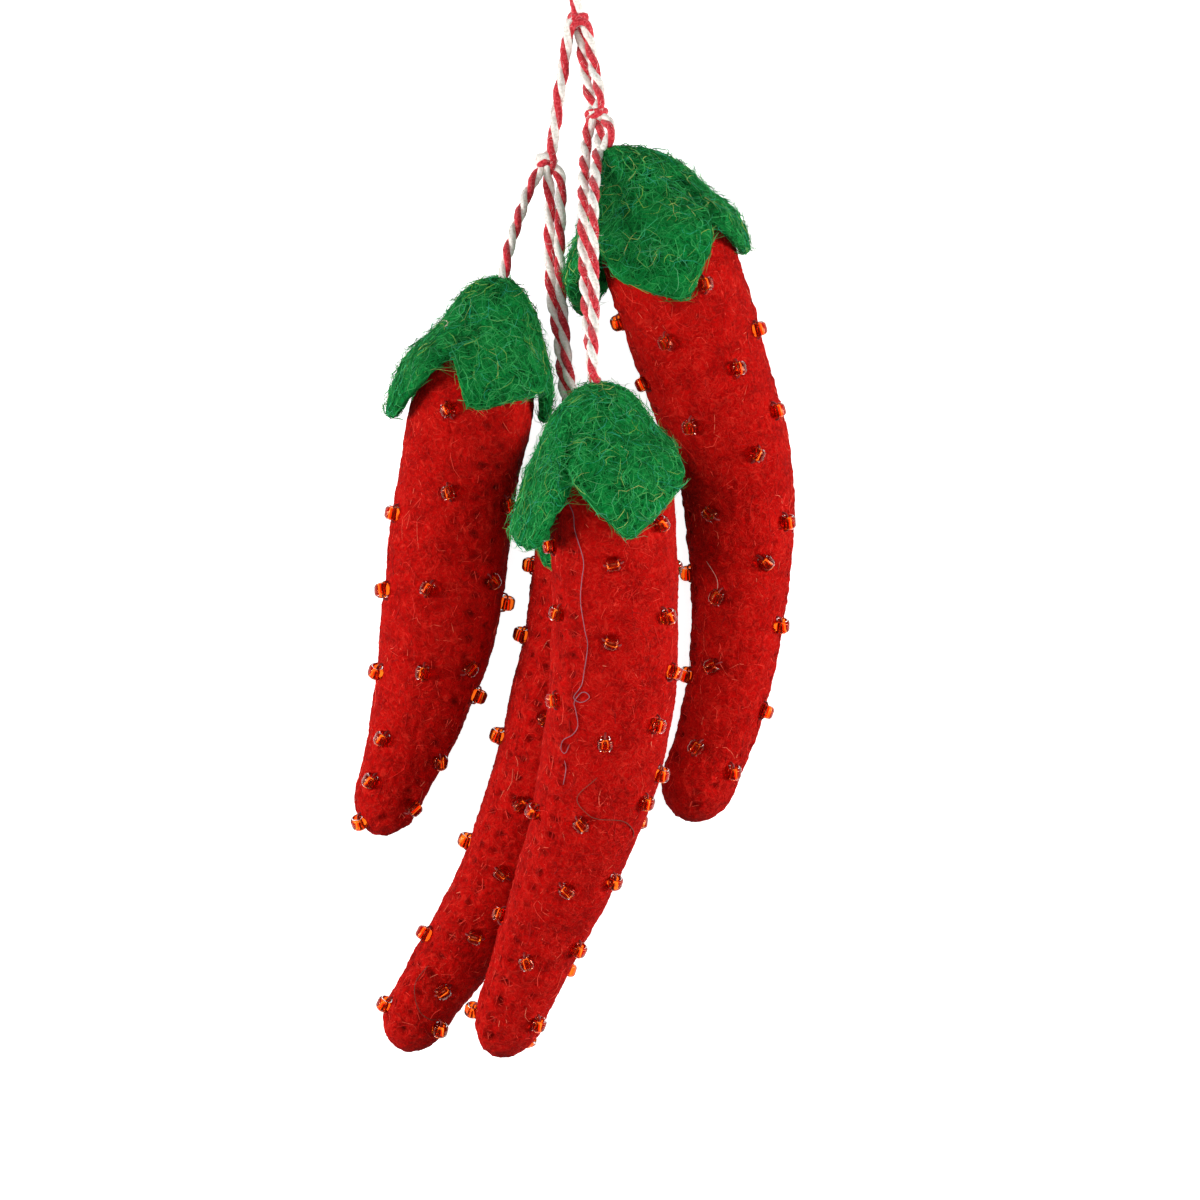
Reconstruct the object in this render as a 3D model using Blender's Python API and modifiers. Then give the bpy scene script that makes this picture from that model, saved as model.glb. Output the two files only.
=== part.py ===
import math
import random

import bmesh
import bpy
from mathutils import Euler, Matrix, Vector
from mathutils.bvhtree import BVHTree

# A hanging bunch of four stuffed felt chillies, laid on a table with its shown side up.
# Lengths are in millimetres up to the mesh: +X right, +Y towards the hanging loop, +Z up.

OBJECT_NAME = "felt_chilli_bunch"
MM = 0.001
MIDDLE = (0.2, 0.2, 0.0)

FELT_THICKNESS = 1.6
TIP_DOME = 6.0
SEAM_RIDGE = 0.3
BODY_SIDES = 14
RING_STEP = 5.6

PEAK_REACH = 11.0
LEAF_NOTCH = 14.5
CORNER_TURN = 6.0
FLATTEST_TURN = 42.0
LEAF_RINGS = (0.2, 0.42, 0.6, 0.78, 0.9, 1.0)

BEAD_DIAMETER = 2.2
BEAD_LENGTH = 1.7
BEAD_SUNK = 0.65
BEAD_COLUMNS = 6
BEAD_PITCH = 12.2
COLUMN_SHIFT = 3.8
BEAD_JITTER = 1.1
BEAD_TURN_JITTER = 7.0
BEAD_ROOM = 0.4
SEEN_FROM = (4.1, 0.6, 2000.0)

TWINE_DIAMETER = 1.4
TWINE_STEP = 3.6
SHARP_ANGLE = 40.0

# Each spine runs from under the cap to the tip. Angles are in degrees round the spine, from
# straight up towards the right. A leaf is the angles of its left notch, tip and right notch,
# the felt from the cap's middle to its left corner, tip and right corner, and how far the tip
# stands off, which begins lift_start along the felt. The cap's peak is how far the twine pulls
# its middle off the head. The shown beads are where each one stands on the table's plane as seen
# from SEEN_FROM, chosen by hand.
CHILLIES = {
    "left": {
        "spine": [(-10.8, 43.4, 12.0), (-13.6, 31.5, 11.7), (-16.9, 15.1, 9.6), (-19.3, -3.5, 8.3),
                  (-22.6, -16.8, 6.9), (-28.7, -33.3, 4.2)],
        "head_width": 17.8, "tip_width": 7.2, "taper": (0.5, 1.12), "head_dome": 17.0,
        "seam": (16, 60), "cap_peak": (0.4, 1.6, 0.0), "cap_clearance": 0.45,
        "leaf_flatness": 0.6,
        "leaves": [(-26, -3, 60, 15.5, 21.5, 17.5, 0.6), (60, 88, 128, 18.0, 22.5, 17.0, 0.0),
                   (128, 178, 226, 19.0, 25.0, 19.0, 0.0), (226, 284, 334, 19.0, 26.5, 17.0, 1.4)],
        "lift_start": 11.0, "bead_turn": -15, "bead_start": 17.0, "seed": 3,
        "shown_beads": [(-18.0, 28.1), (-23.5, 27.0), (-17.9, 16.2), (-26.0, 13.2), (-20.9, 2.2),
                        (-27.5, 2.0), (-11.5, 3.3), (-5.9, 28.7), (-9.4, 14.4), (-8.9, 0.1),
                        (-28.4, -9.7), (-21.6, -9.9), (-14.8, -9.4), (-13.5, -13.3),
                        (-27.5, -19.5), (-19.1, -22.9), (-29.2, -25.6), (-22.9, -29.6),
                        (-31.1, -32.0)],
    },
    "right": {
        "spine": [(10.7, 62.5, 12.1), (14.2, 49.4, 12.0), (19.0, 34.6, 10.4), (23.6, 19.6, 8.0),
                  (24.2, 4.0, 6.9), (22.5, -12.6, 5.9), (16.4, -31.4, 4.5)],
        "head_width": 18.5, "tip_width": 8.8, "taper": (0.1, 1.12), "head_dome": 13.0,
        "seam": (-80, -84), "cap_peak": (-5.0, 1.2, 0.0), "cap_clearance": 0.45,
        "leaf_flatness": 0.6,
        "leaves": [(-48, 3, 36, 20.5, 26.5, 20.0, 0.4), (36, 86, 132, 18.5, 23.5, 18.5, 0.0),
                   (132, 178, 216, 19.0, 26.0, 19.0, 0.0), (216, 256, 312, 23.5, 25.0, 18.0, 3.7)],
        "lift_start": 3.0, "bead_turn": -28, "bead_start": 26.0, "seed": 11,
        "shown_beads": [(22.9, 52.3), (19.3, 46.4), (6.2, 40.6), (27.1, 39.9), (13.6, 38.0),
                        (24.1, 34.2), (10.3, 31.9), (29.8, 28.1), (17.1, 25.7), (26.8, 21.7),
                        (20.1, 13.1), (31.3, 11.9), (28.1, 6.0), (16.4, 4.5), (21.0, 1.0),
                        (30.4, -3.1), (20.3, -9.0), (16.6, -10.2), (28.1, -15.5), (18.0, -20.8),
                        (23.4, -24.4)],
    },
    "back": {
        "spine": [(3.5, 22.9, 12.0), (3.7, 12.0, 11.8), (2.9, 3.5, 11.0), (1.7, -5.2, 9.5),
                  (-2.2, -21.5, 7.9), (-8.8, -38.3, 6.6), (-21.5, -58.1, 4.6),
                  (-25.5, -64.1, 4.1)],
        "head_width": 17.3, "tip_width": 8.5, "taper": (0.4, 1.1), "head_dome": 12.0,
        "seam": (-45, -30), "cap_peak": (-2.2, 0.8, 0.0), "cap_clearance": 0.4,
        "leaf_flatness": 0.0,
        "leaves": [(-74, -40, 8, 17.0, 25.0, 19.0, 0.2), (8, 50, 92, 19.0, 25.0, 18.0, 0.0),
                   (92, 142, 190, 19.0, 25.0, 19.0, 0.0), (190, 228, 254, 19.0, 22.0, 16.5, 0.0)],
        "lift_start": 11.0, "bead_turn": -20, "bead_start": 29.0, "seed": 5,
        "shown_beads": [(-7.2, 5.8), (-7.4, -4.4), (-3.9, -16.6), (-10.8, -19.0), (-7.4, -29.1),
                        (-15.4, -34.2), (-10.2, -39.1), (-21.4, -47.7), (-14.1, -48.3),
                        (-18.7, -56.2), (-27.1, -57.9), (-19.1, -61.7)],
    },
    "front": {
        "spine": [(3.9, 28.4, 37.6), (5.5, 17.7, 37.0), (6.3, 2.0, 34.2), (5.6, -13.7, 29.6),
                  (2.3, -30.5, 23.5), (-5.4, -50.3, 15.4), (-11.2, -65.0, 9.6)],
        "head_width": 18.3, "tip_width": 8.5, "taper": (0.4, 1.1), "head_dome": 13.5,
        "seam": (-52, -36), "cap_peak": (-0.2, 0.9, 0.1), "cap_clearance": 0.45,
        "leaf_flatness": 0.5,
        "leaves": [(-30, 10, 62, 17.5, 25.5, 18.5, 0.4), (118, 150, 184, 18.0, 24.0, 18.0, 0.0),
                   (184, 212, 240, 18.0, 24.0, 18.0, 0.0), (240, 308, 330, 24.0, 26.2, 20.5, 4.4)],
        "lift_start": 11.0, "bead_turn": 0, "bead_start": 25.0, "seed": 8,
        "shown_beads": [(-3.1, 8.3), (6.0, 5.7), (13.0, 11.6), (-2.2, -1.3), (5.7, -5.7),
                        (14.0, -1.8), (14.8, -10.0), (-2.7, -14.0), (12.5, -17.6), (4.8, -20.3),
                        (13.0, -24.7), (10.8, -28.8), (1.3, -32.0), (-5.6, -30.0), (-0.8, -41.6),
                        (6.2, -40.3), (-10.9, -44.8), (-6.6, -52.0), (1.0, -50.1),
                        (-14.6, -58.7), (-4.9, -60.9)],
    },
}

# Knots: middle and the half sizes of the lump of wound twine.
KNOTS = {
    "top": ((0.9, 84.4, 1.9), (1.55, 1.6, 1.6)),
    "left": ((-3.6, 64.1, 2.3), (1.6, 1.55, 1.6)),
    "right": ((3.6, 70.5, 8.0), (1.75, 2.1, 1.65)),
}

# Points chosen by hand along each stretch of twine, knot to knot or knot to cap.
TWINE = {
    "twine_hanger": [(0.5, 86.5, 0.9), (0.0, 90.0, 0.8), (-1.6, 95.0, 0.75), (-4.6, 104.0, 0.75),
                     (-5.2, 113.0, 0.75), (-3.2, 120.0, 0.75), (0.3, 122.8, 0.75),
                     (3.8, 120.0, 0.75), (5.6, 113.0, 0.75), (4.8, 104.0, 0.75),
                     (2.0, 95.0, 1.2), (0.9, 90.0, 2.3), (0.7, 86.5, 2.75)],
    "twine_top_left_a": [(-0.6, 82.1, 0.9), (-1.6, 76.0, 0.8), (-2.4, 71.0, 0.8),
                         (-2.9, 66.3, 1.3)],
    "twine_top_left_b": [(-0.6, 82.1, 2.65), (-1.4, 76.0, 2.55), (-2.1, 71.0, 2.55),
                         (-2.8, 66.3, 3.05)],
    "twine_top_right_a": [(1.2, 82.3, 1.2), (1.8, 77.5, 3.6), (2.7, 72.95, 6.9)],
    "twine_top_right_b": [(2.4, 82.4, 2.7), (3.2, 77.5, 5.1), (4.1, 73.1, 8.3)],
    "twine_left": [(-5.2, 61.9, 2.9), (-6.6, 59.0, 4.6), (-8.1, 54.5, 8.2), (-9.2, 50.8, 10.9),
                   (-9.6, 48.5, 11.9)],
    "twine_back_a": [(-3.5, 62.0, 2.0), (-3.2, 58.6, 2.0), (-3.3, 51.3, 2.4), (-2.9, 44.1, 3.6),
                     (-1.9, 38.3, 5.4), (-1.5, 33.9, 7.6), (-0.9, 29.8, 10.0), (0.1, 27.2, 11.2)],
    "twine_back_b": [(-1.8, 62.1, 2.6), (-1.6, 58.6, 2.9), (-1.8, 51.3, 3.5), (-1.5, 44.1, 5.0),
                     (-1.0, 38.3, 7.2), (-0.6, 33.9, 9.5), (0.3, 29.8, 11.9), (1.3, 27.2, 12.7)],
    "twine_right": [(5.1, 69.6, 9.8), (5.6, 68.6, 11.2), (5.3, 66.9, 12.2)],
    "twine_front_a": [(2.3, 68.0, 8.4), (1.8, 63.0, 13.6), (1.6, 57.0, 20.0), (1.7, 50.0, 25.2),
                      (2.2, 41.0, 30.9), (2.7, 36.0, 35.0), (3.1, 32.7, 37.0)],
    "twine_front_b": [(4.1, 68.0, 8.8), (3.5, 63.0, 15.2), (3.1, 57.0, 22.6), (3.1, 50.0, 27.4),
                      (3.2, 41.0, 32.8), (3.0, 36.2, 37.0), (3.2, 32.9, 38.9)],
}

COLOURS = {
    "red_felt": ((0.42, 0.008, 0.008), 0.95),
    "green_felt": ((0.01, 0.19, 0.05), 0.95),
    "twine": ((0.72, 0.30, 0.30), 0.85),
}


def placed(point):
    """A point in metres from the middle of the felt pieces' box, on the table."""
    return (Vector(point) - Vector(MIDDLE)) * MM


def clamp(value, low=0.0, high=1.0):
    return max(low, min(high, value))


def smooth_step(value):
    value = clamp(value)
    return value * value * (3.0 - 2.0 * value)


def dome(value):
    return math.sqrt(1.0 - (1.0 - clamp(value)) ** 2)


def smooth_path(points, step):
    """Points about one step apart on a smooth curve through the given ones."""
    points = [Vector(p) for p in points]
    ends = [2.0 * points[0] - points[1], *points, 2.0 * points[-1] - points[-2]]
    fine = [points[0]]
    for before, start, end, after in zip(ends, ends[1:], ends[2:], ends[3:]):
        for part in range(1, 25):
            t = part / 24.0
            fine.append(0.5 * (2.0 * start + (end - before) * t
                               + (2.0 * before - 5.0 * start + 4.0 * end - after) * t ** 2
                               + (3.0 * start - before - 3.0 * end + after) * t ** 3))
    lengths = [0.0]
    for one, two in zip(fine, fine[1:]):
        lengths.append(lengths[-1] + (two - one).length)
    count = max(2, round(lengths[-1] / step))
    path = []
    index = 0
    for number in range(count + 1):
        wanted = lengths[-1] * number / count
        while index < len(fine) - 2 and lengths[index + 1] < wanted:
            index += 1
        share = (wanted - lengths[index]) / (lengths[index + 1] - lengths[index])
        path.append(fine[index].lerp(fine[index + 1], share))
    return path, lengths[-1]


class Chilli:
    """The form of one chilli: its spine, its width along it and the cap that lies over its head."""

    def __init__(self, name, shape):
        self.name = name
        self.shape = shape
        self.path, self.length = smooth_path(shape["spine"], 0.5)
        self.step = self.length / (len(self.path) - 1)
        self.meridian = self.cap_meridian()

    def frame(self, distance):
        """Middle of the section, and the directions along, right and up there."""
        place = distance / self.step
        index = int(clamp(math.floor(place), 0, len(self.path) - 2))
        here = self.path[index].lerp(self.path[index + 1], place - index)
        low = max(index - 3, 0)
        high = min(index + 4, len(self.path) - 1)
        along = (self.path[high] - self.path[low]).normalized()
        right = Vector((0, 0, 1)).cross(along).normalized()
        return here, along, right, along.cross(right)

    def radius(self, distance):
        start, end = self.shape["taper"]
        taper = smooth_step((distance / self.length - start) / (end - start))
        width = self.shape["head_width"] + (self.shape["tip_width"] - self.shape["head_width"]) * taper
        return 0.5 * width * dome(distance / self.shape["head_dome"]) * dome((self.length - distance) / TIP_DOME)

    def seam_angle(self, distance):
        start, end = self.shape["seam"]
        return math.radians(start + (end - start) * clamp(distance / self.length))

    def point(self, distance, angle, out=0.0):
        """A point of the skin: two felt halves meet in a low ridge at each side seam."""
        middle, _, right, up = self.frame(distance)
        ridge = abs(math.cos(angle - self.seam_angle(distance))) ** 8 * SEAM_RIDGE
        radius = self.radius(distance)
        reach = radius + ridge * clamp(radius / 4.0) + out
        return middle + reach * (math.sin(angle) * right + math.cos(angle) * up)

    def cap_meridian(self):
        """Distance along and out from the spine of the cap's middle layer, by length of felt."""
        offset = self.shape["cap_clearance"] + 0.5 * FELT_THICKNESS + SEAM_RIDGE
        profile = []
        for number in range(1, 60):
            distance = 0.012 * number ** 2
            slope = (self.radius(distance + 0.01) - self.radius(distance - 0.01 * (number > 1))) / 0.02
            slope = slope if number > 1 else 2.0 * slope
            steep = math.hypot(1.0, slope)
            profile.append((distance - offset * slope / steep, self.radius(distance) + offset / steep))
        meridian = [(0.0, -offset, 0.0)]
        for along, out in profile:
            felt, last_along, last_out = meridian[-1]
            meridian.append((felt + math.hypot(along - last_along, out - last_out), along, out))
        return meridian

    def cap_place(self, felt):
        for one, two in zip(self.meridian, self.meridian[1:]):
            if felt <= two[0]:
                share = (felt - one[0]) / (two[0] - one[0])
                return one[1] + (two[1] - one[1]) * share, one[2] + (two[2] - one[2]) * share
        return self.meridian[-1][1] + felt - self.meridian[-1][0], self.meridian[-1][2]

    def cap_point(self, felt, angle, off_middle, lift):
        """A point of the cap's middle layer: its leaves are flatter than the head under them."""
        along, out = self.cap_place(felt)
        turn = math.radians(min(abs(off_middle), FLATTEST_TURN))
        flat = (1.0 / math.cos(turn) - 1.0) * self.shape["leaf_flatness"]
        out *= 1.0 + flat * smooth_step((felt - 7.0) / 10.0)
        out += lift * clamp((felt - self.shape["lift_start"]) / 16.0) ** 2
        middle, _, right, up = self.frame(along)
        point = middle + out * (math.sin(angle) * right + math.cos(angle) * up)
        point += Vector(self.shape["cap_peak"]) * clamp(1.0 - felt / PEAK_REACH) ** 2
        point.z = max(point.z, 0.5 * FELT_THICKNESS)
        return point


def new_object(name, mesh, collection, colour):
    obj = bpy.data.objects.new(name, mesh)
    collection.objects.link(obj)
    obj.data.materials.append(material(colour))
    return obj


def material(name):
    found = bpy.data.materials.get(name)
    if found:
        return found
    colour, roughness = COLOURS[name]
    found = bpy.data.materials.new(name)
    found.use_nodes = True
    shader = found.node_tree.nodes["Principled BSDF"]
    shader.inputs["Base Color"].default_value = (*colour, 1.0)
    shader.inputs["Roughness"].default_value = roughness
    found.diffuse_color = (*colour, 1.0)
    return found


def mesh_from(name, build):
    mesh = bpy.data.meshes.new(name)
    bm = bmesh.new()
    build(bm)
    bmesh.ops.recalc_face_normals(bm, faces=bm.faces)
    bm.to_mesh(mesh)
    bm.free()
    return mesh


def tree_of(obj):
    evaluated = obj.evaluated_get(bpy.context.evaluated_depsgraph_get())
    bm = bmesh.new()
    bm.from_mesh(evaluated.to_mesh())
    tree = BVHTree.FromBMesh(bm)
    bm.free()
    evaluated.to_mesh_clear()
    return tree


def ring_distances(length, head_dome):
    """Sections crowd where the head and the tip round over."""
    head = [head_dome * (1.0 - math.cos(math.radians(a))) for a in (20, 42, 64, 86)]
    tip = [length - TIP_DOME * (1.0 - math.cos(math.radians(a))) for a in (78, 52, 26)]
    count = round((tip[0] - head[-1]) / RING_STEP)
    middle = [head[-1] + (tip[0] - head[-1]) * n / count for n in range(1, count)]
    return head + middle + tip


def body_mesh(chilli):
    def build(bm):
        rings = []
        for distance in ring_distances(chilli.length, chilli.shape["head_dome"]):
            ring = []
            for side in range(BODY_SIDES):
                angle = math.tau * side / BODY_SIDES + chilli.seam_angle(distance)
                point = chilli.point(distance, angle)
                point.z = max(point.z, 0.0)
                ring.append(bm.verts.new(placed(point)))
            rings.append(ring)
        head = bm.verts.new(placed(chilli.frame(0.0)[0]))
        tip = bm.verts.new(placed(chilli.frame(chilli.length)[0]))
        for side in range(BODY_SIDES):
            after = (side + 1) % BODY_SIDES
            bm.faces.new((head, rings[0][side], rings[0][after]))
            bm.faces.new((tip, rings[-1][after], rings[-1][side]))
            for one, two in zip(rings, rings[1:]):
                bm.faces.new((one[side], one[after], two[after], two[side]))
    return mesh_from("chilli_" + chilli.name, build)


def leaf_lines(leaves):
    """The radial lines of a cap: angle, turn from its leaf's middle, length of felt and lift."""
    lines = []
    for left, tip, right, left_felt, tip_felt, right_felt, lift in leaves:
        low = left + CORNER_TURN
        high = right - CORNER_TURN
        edge = [(left, LEAF_NOTCH), (low, left_felt)]
        edge += [(low + (tip - low) * s, left_felt + (tip_felt - left_felt) * s) for s in (0.4, 0.78)]
        edge += [(tip, tip_felt)]
        edge += [(tip + (high - tip) * s, tip_felt + (right_felt - tip_felt) * s) for s in (0.22, 0.6)]
        edge += [(high, right_felt), (right, LEAF_NOTCH)]
        if lines and math.isclose(lines[-1][0], math.radians(left)):
            edge = edge[1:]
        middle = 0.5 * (left + right)
        lines += [(math.radians(turn), turn - middle, felt, lift) for turn, felt in edge]
    if math.isclose(lines[-1][0] - math.tau, lines[0][0]):
        lines = lines[:-1]
    return lines


def cap_mesh(chilli):
    def build(bm):
        centre = bm.verts.new(placed(chilli.cap_point(0.0, 0.0, 0.0, 0.0)))
        columns = []
        for angle, off_middle, felt, lift in leaf_lines(chilli.shape["leaves"]):
            points = [chilli.cap_point(felt * share, angle, off_middle, lift) for share in LEAF_RINGS]
            columns.append([bm.verts.new(placed(point)) for point in points])
        for number, one in enumerate(columns):
            two = columns[(number + 1) % len(columns)]
            bm.faces.new((centre, one[0], two[0]))
            for ring in range(len(LEAF_RINGS) - 1):
                bm.faces.new((one[ring], one[ring + 1], two[ring + 1], two[ring]))
    return mesh_from("calyx_" + chilli.name, build)


def make_cap(chilli, collection):
    cap = new_object("calyx_" + chilli.name, cap_mesh(chilli), collection, "green_felt")
    wall = cap.modifiers.new("felt", "SOLIDIFY")
    wall.thickness = FELT_THICKNESS * MM
    wall.offset = 0.0
    return cap


def shown_place(chilli, seen):
    """Distance and angle of a bead of the shown side, found where the line of sight meets it."""
    eye = Vector(SEEN_FROM)
    stand_off = 0.5 * BEAD_DIAMETER - BEAD_SUNK
    target = Vector((*seen, 0.0))
    near = min(range(len(chilli.path)), key=lambda index: (chilli.path[index].xy - target.xy).length)
    distance = near * chilli.step
    across = 0.0
    angle = 0.0
    for _ in range(12):
        _, along, right, _ = chilli.frame(distance)
        place = chilli.point(distance, angle, stand_off)
        sight = eye.lerp(target, 1.0 - place.z / eye.z)
        off = Vector((sight.x - place.x, sight.y - place.y, 0.0))
        distance = clamp(distance + off.dot(along), 3.0, chilli.length - 1.5)
        across += off.dot(right)
        reach = chilli.radius(distance) + stand_off
        across = clamp(across, -reach, reach)
        angle = math.asin(across / reach)
    return distance, angle


def bead_places(chilli):
    """Beads of the shown side, then rows round the rest: six columns, shifted in turn, a little off."""
    draw = random.Random(chilli.shape["seed"])
    places = [(*shown_place(chilli, seen), draw.uniform(0.0, math.pi))
              for seen in chilli.shape["shown_beads"]]
    for column in range(BEAD_COLUMNS):
        first = chilli.shape["bead_start"] + COLUMN_SHIFT * (column % 2) - 2 * BEAD_PITCH
        for row in range(10):
            distance = first + row * BEAD_PITCH + draw.uniform(-BEAD_JITTER, BEAD_JITTER)
            turn = chilli.shape["bead_turn"] + column * 360.0 / BEAD_COLUMNS
            turn += draw.uniform(-BEAD_TURN_JITTER, BEAD_TURN_JITTER)
            lie = draw.uniform(0.0, math.pi)
            hidden = math.cos(math.radians(turn)) < -0.5
            if hidden and 12.0 < distance < chilli.length - 2.5:
                places.append((distance, math.radians(turn), lie))
    return places


def bead_matrix(chilli, distance, angle, lie):
    middle, along, right, up = chilli.frame(distance)
    outward = math.sin(angle) * right + math.cos(angle) * up
    slope = (chilli.radius(distance + 0.3) - chilli.radius(distance - 0.3)) / 0.6
    outward = (outward - slope * along).normalized()
    place = chilli.point(distance, angle) + outward * (0.5 * BEAD_DIAMETER - BEAD_SUNK)
    side = outward.cross(along).normalized()
    hole = math.cos(lie) * side + math.sin(lie) * side.cross(outward)
    turn = Matrix((hole, outward.cross(hole), outward)).transposed()
    return place, turn.to_4x4()


def add_beads(chilli, body, cutters, others, beads_so_far):
    """Beads that would meet the floor, a cap, a neighbour or its beads are left off."""
    collection = bpy.data.collections.new("beads_" + chilli.name)
    cutters.children.link(collection)
    radius = 0.5 * BEAD_DIAMETER
    kept = []
    for distance, angle, lie in bead_places(chilli):
        place, turn = bead_matrix(chilli, distance, angle, lie)
        if place.z < radius + 0.2:
            continue
        near = [tree.find_nearest(placed(place))[3] / MM for tree in others]
        if min(near) < radius + BEAD_ROOM:
            continue
        if any((place - other).length < BEAD_DIAMETER + 0.5 for other in beads_so_far):
            continue
        kept.append(place)

        def build(bm, place=place, turn=turn):
            size = Matrix.Diagonal((0.5 * BEAD_LENGTH, radius, radius, 1.0))
            bmesh.ops.create_uvsphere(bm, u_segments=5, v_segments=4, radius=1.0,
                                      matrix=Matrix.Rotation(math.pi / 2, 4, "Y"))
            bm.transform(Matrix.Translation(placed(place)) @ turn @ Matrix.Scale(MM, 4) @ size)
        bead = bpy.data.objects.new("bead", mesh_from("bead", build))
        collection.objects.link(bead)
    beads_so_far.extend(kept)
    fuse(body, collection)


def fuse(body, collection):
    """Join a collection to a body by one union, and drop the pieces that were joined."""
    join = body.modifiers.new("join", "BOOLEAN")
    join.operation = "UNION"
    join.operand_type = "COLLECTION"
    join.collection = collection
    join.solver = "EXACT"
    bpy.context.view_layer.update()
    joined = bpy.data.meshes.new_from_object(body.evaluated_get(bpy.context.evaluated_depsgraph_get()))
    body.modifiers.clear()
    body.data = joined
    for piece in list(collection.objects):
        bpy.data.objects.remove(piece)
    bpy.data.collections.remove(collection)


def make_knot(name, place, size, collection, cutters):
    """A pulled overhand knot: a small core with two turns of twine wound across it."""
    thick = 0.5 * TWINE_DIAMETER
    reach = min(size) - thick

    def core(bm):
        bmesh.ops.create_uvsphere(bm, u_segments=10, v_segments=6, radius=1.0)
        bm.transform(Matrix.Translation(placed(place)) @ Matrix.Scale(MM, 4)
                     @ Matrix.Diagonal((0.8 * size[0], 0.9 * size[1], 0.8 * size[2], 1.0)))
    knot = new_object("knot_" + name, mesh_from("knot_" + name, core), collection, "twine")
    wraps = bpy.data.collections.new("wraps_" + name)
    cutters.children.link(wraps)
    for turn in ((60, 20, 15), (75, -35, -20)):
        bpy.ops.mesh.primitive_torus_add(major_segments=12, minor_segments=6,
                                         major_radius=reach * MM, minor_radius=thick * MM)
        wrap = bpy.context.object
        wrap.data.transform(Matrix.Diagonal((size[0] / min(size), size[2] / min(size), 1.0, 1.0)))
        wrap.data.transform(Euler([math.radians(a) for a in turn]).to_matrix().to_4x4())
        wrap.data.transform(Matrix.Translation(placed(place)))
        for holder in list(wrap.users_collection):
            holder.objects.unlink(wrap)
        wraps.objects.link(wrap)
    fuse(knot, wraps)


def make_twine(name, points, collection):
    curve = bpy.data.curves.new(name, "CURVE")
    curve.dimensions = "3D"
    curve.bevel_depth = 0.5 * TWINE_DIAMETER * MM
    curve.bevel_resolution = 2
    curve.use_fill_caps = True
    path, _ = smooth_path(points, TWINE_STEP)
    spline = curve.splines.new("POLY")
    spline.points.add(len(path) - 1)
    for place, point in zip(path, spline.points):
        point.co = (*placed(place), 1.0)
    new_object(name, curve, collection, "twine")


def make_bunch():
    for obj in list(bpy.data.objects):
        bpy.data.objects.remove(obj)
    parts = bpy.data.collections.new(OBJECT_NAME)
    cutters = bpy.data.collections.new("cutters")
    bpy.context.scene.collection.children.link(parts)
    bpy.context.scene.collection.children.link(cutters)

    chillies = [Chilli(name, shape) for name, shape in CHILLIES.items()]
    bodies = {}
    trees = {}
    for chilli in chillies:
        body = new_object("chilli_" + chilli.name, body_mesh(chilli), parts, "red_felt")
        bodies[chilli.name] = body
        cap = make_cap(chilli, parts)
        bpy.context.view_layer.update()
        trees[body.name] = tree_of(body)
        trees[cap.name] = tree_of(cap)
    beads_so_far = []
    for chilli in chillies:
        body = bodies[chilli.name]
        others = [tree for name, tree in trees.items() if name != body.name]
        add_beads(chilli, body, cutters, others, beads_so_far)
        body.data.shade_smooth()
        body.data.set_sharp_from_angle(angle=math.radians(SHARP_ANGLE))
    for name, (place, size) in KNOTS.items():
        make_knot(name, place, size, parts, cutters)
    for name, points in TWINE.items():
        make_twine(name, points, parts)
    bpy.context.view_layer.update()


make_bunch()
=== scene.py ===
import math
import random

import bpy
import numpy as np
from mathutils import Euler, Matrix, Vector, noise
from mathutils.bvhtree import BVHTree


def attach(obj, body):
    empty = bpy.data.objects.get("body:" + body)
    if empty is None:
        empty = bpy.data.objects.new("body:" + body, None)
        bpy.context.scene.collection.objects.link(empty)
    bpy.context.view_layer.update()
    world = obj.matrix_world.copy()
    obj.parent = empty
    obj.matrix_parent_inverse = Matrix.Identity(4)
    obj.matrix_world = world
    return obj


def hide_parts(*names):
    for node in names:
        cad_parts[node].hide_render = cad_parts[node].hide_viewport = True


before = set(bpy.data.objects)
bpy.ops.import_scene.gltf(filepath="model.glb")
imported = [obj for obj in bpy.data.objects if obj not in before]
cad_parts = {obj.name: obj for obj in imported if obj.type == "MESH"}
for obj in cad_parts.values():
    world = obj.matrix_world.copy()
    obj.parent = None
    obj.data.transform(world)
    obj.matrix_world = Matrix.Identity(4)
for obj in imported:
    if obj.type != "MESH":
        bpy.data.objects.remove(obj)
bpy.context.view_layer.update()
print("frame loaded:", len(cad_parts), "nodes")

# A bunch of four stuffed felt chillies on striped twine, lying with its shown side up.
# The shapes are drawn in millimetres and become metres in their meshes.
mm = 0.001
middleOfBunch = Vector((0.2, 0.2, 0.0))   # this point of the drawing stands at the frame's origin


def placed(point):
    return (Vector(point) - middleOfBunch) * mm


def clamp(value, low=0.0, high=1.0):
    return max(low, min(high, value))


def smoothStep(value):
    value = clamp(value)
    return value * value * (3.0 - 2.0 * value)


def dome(value):
    return math.sqrt(1.0 - (1.0 - clamp(value)) ** 2)


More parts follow.
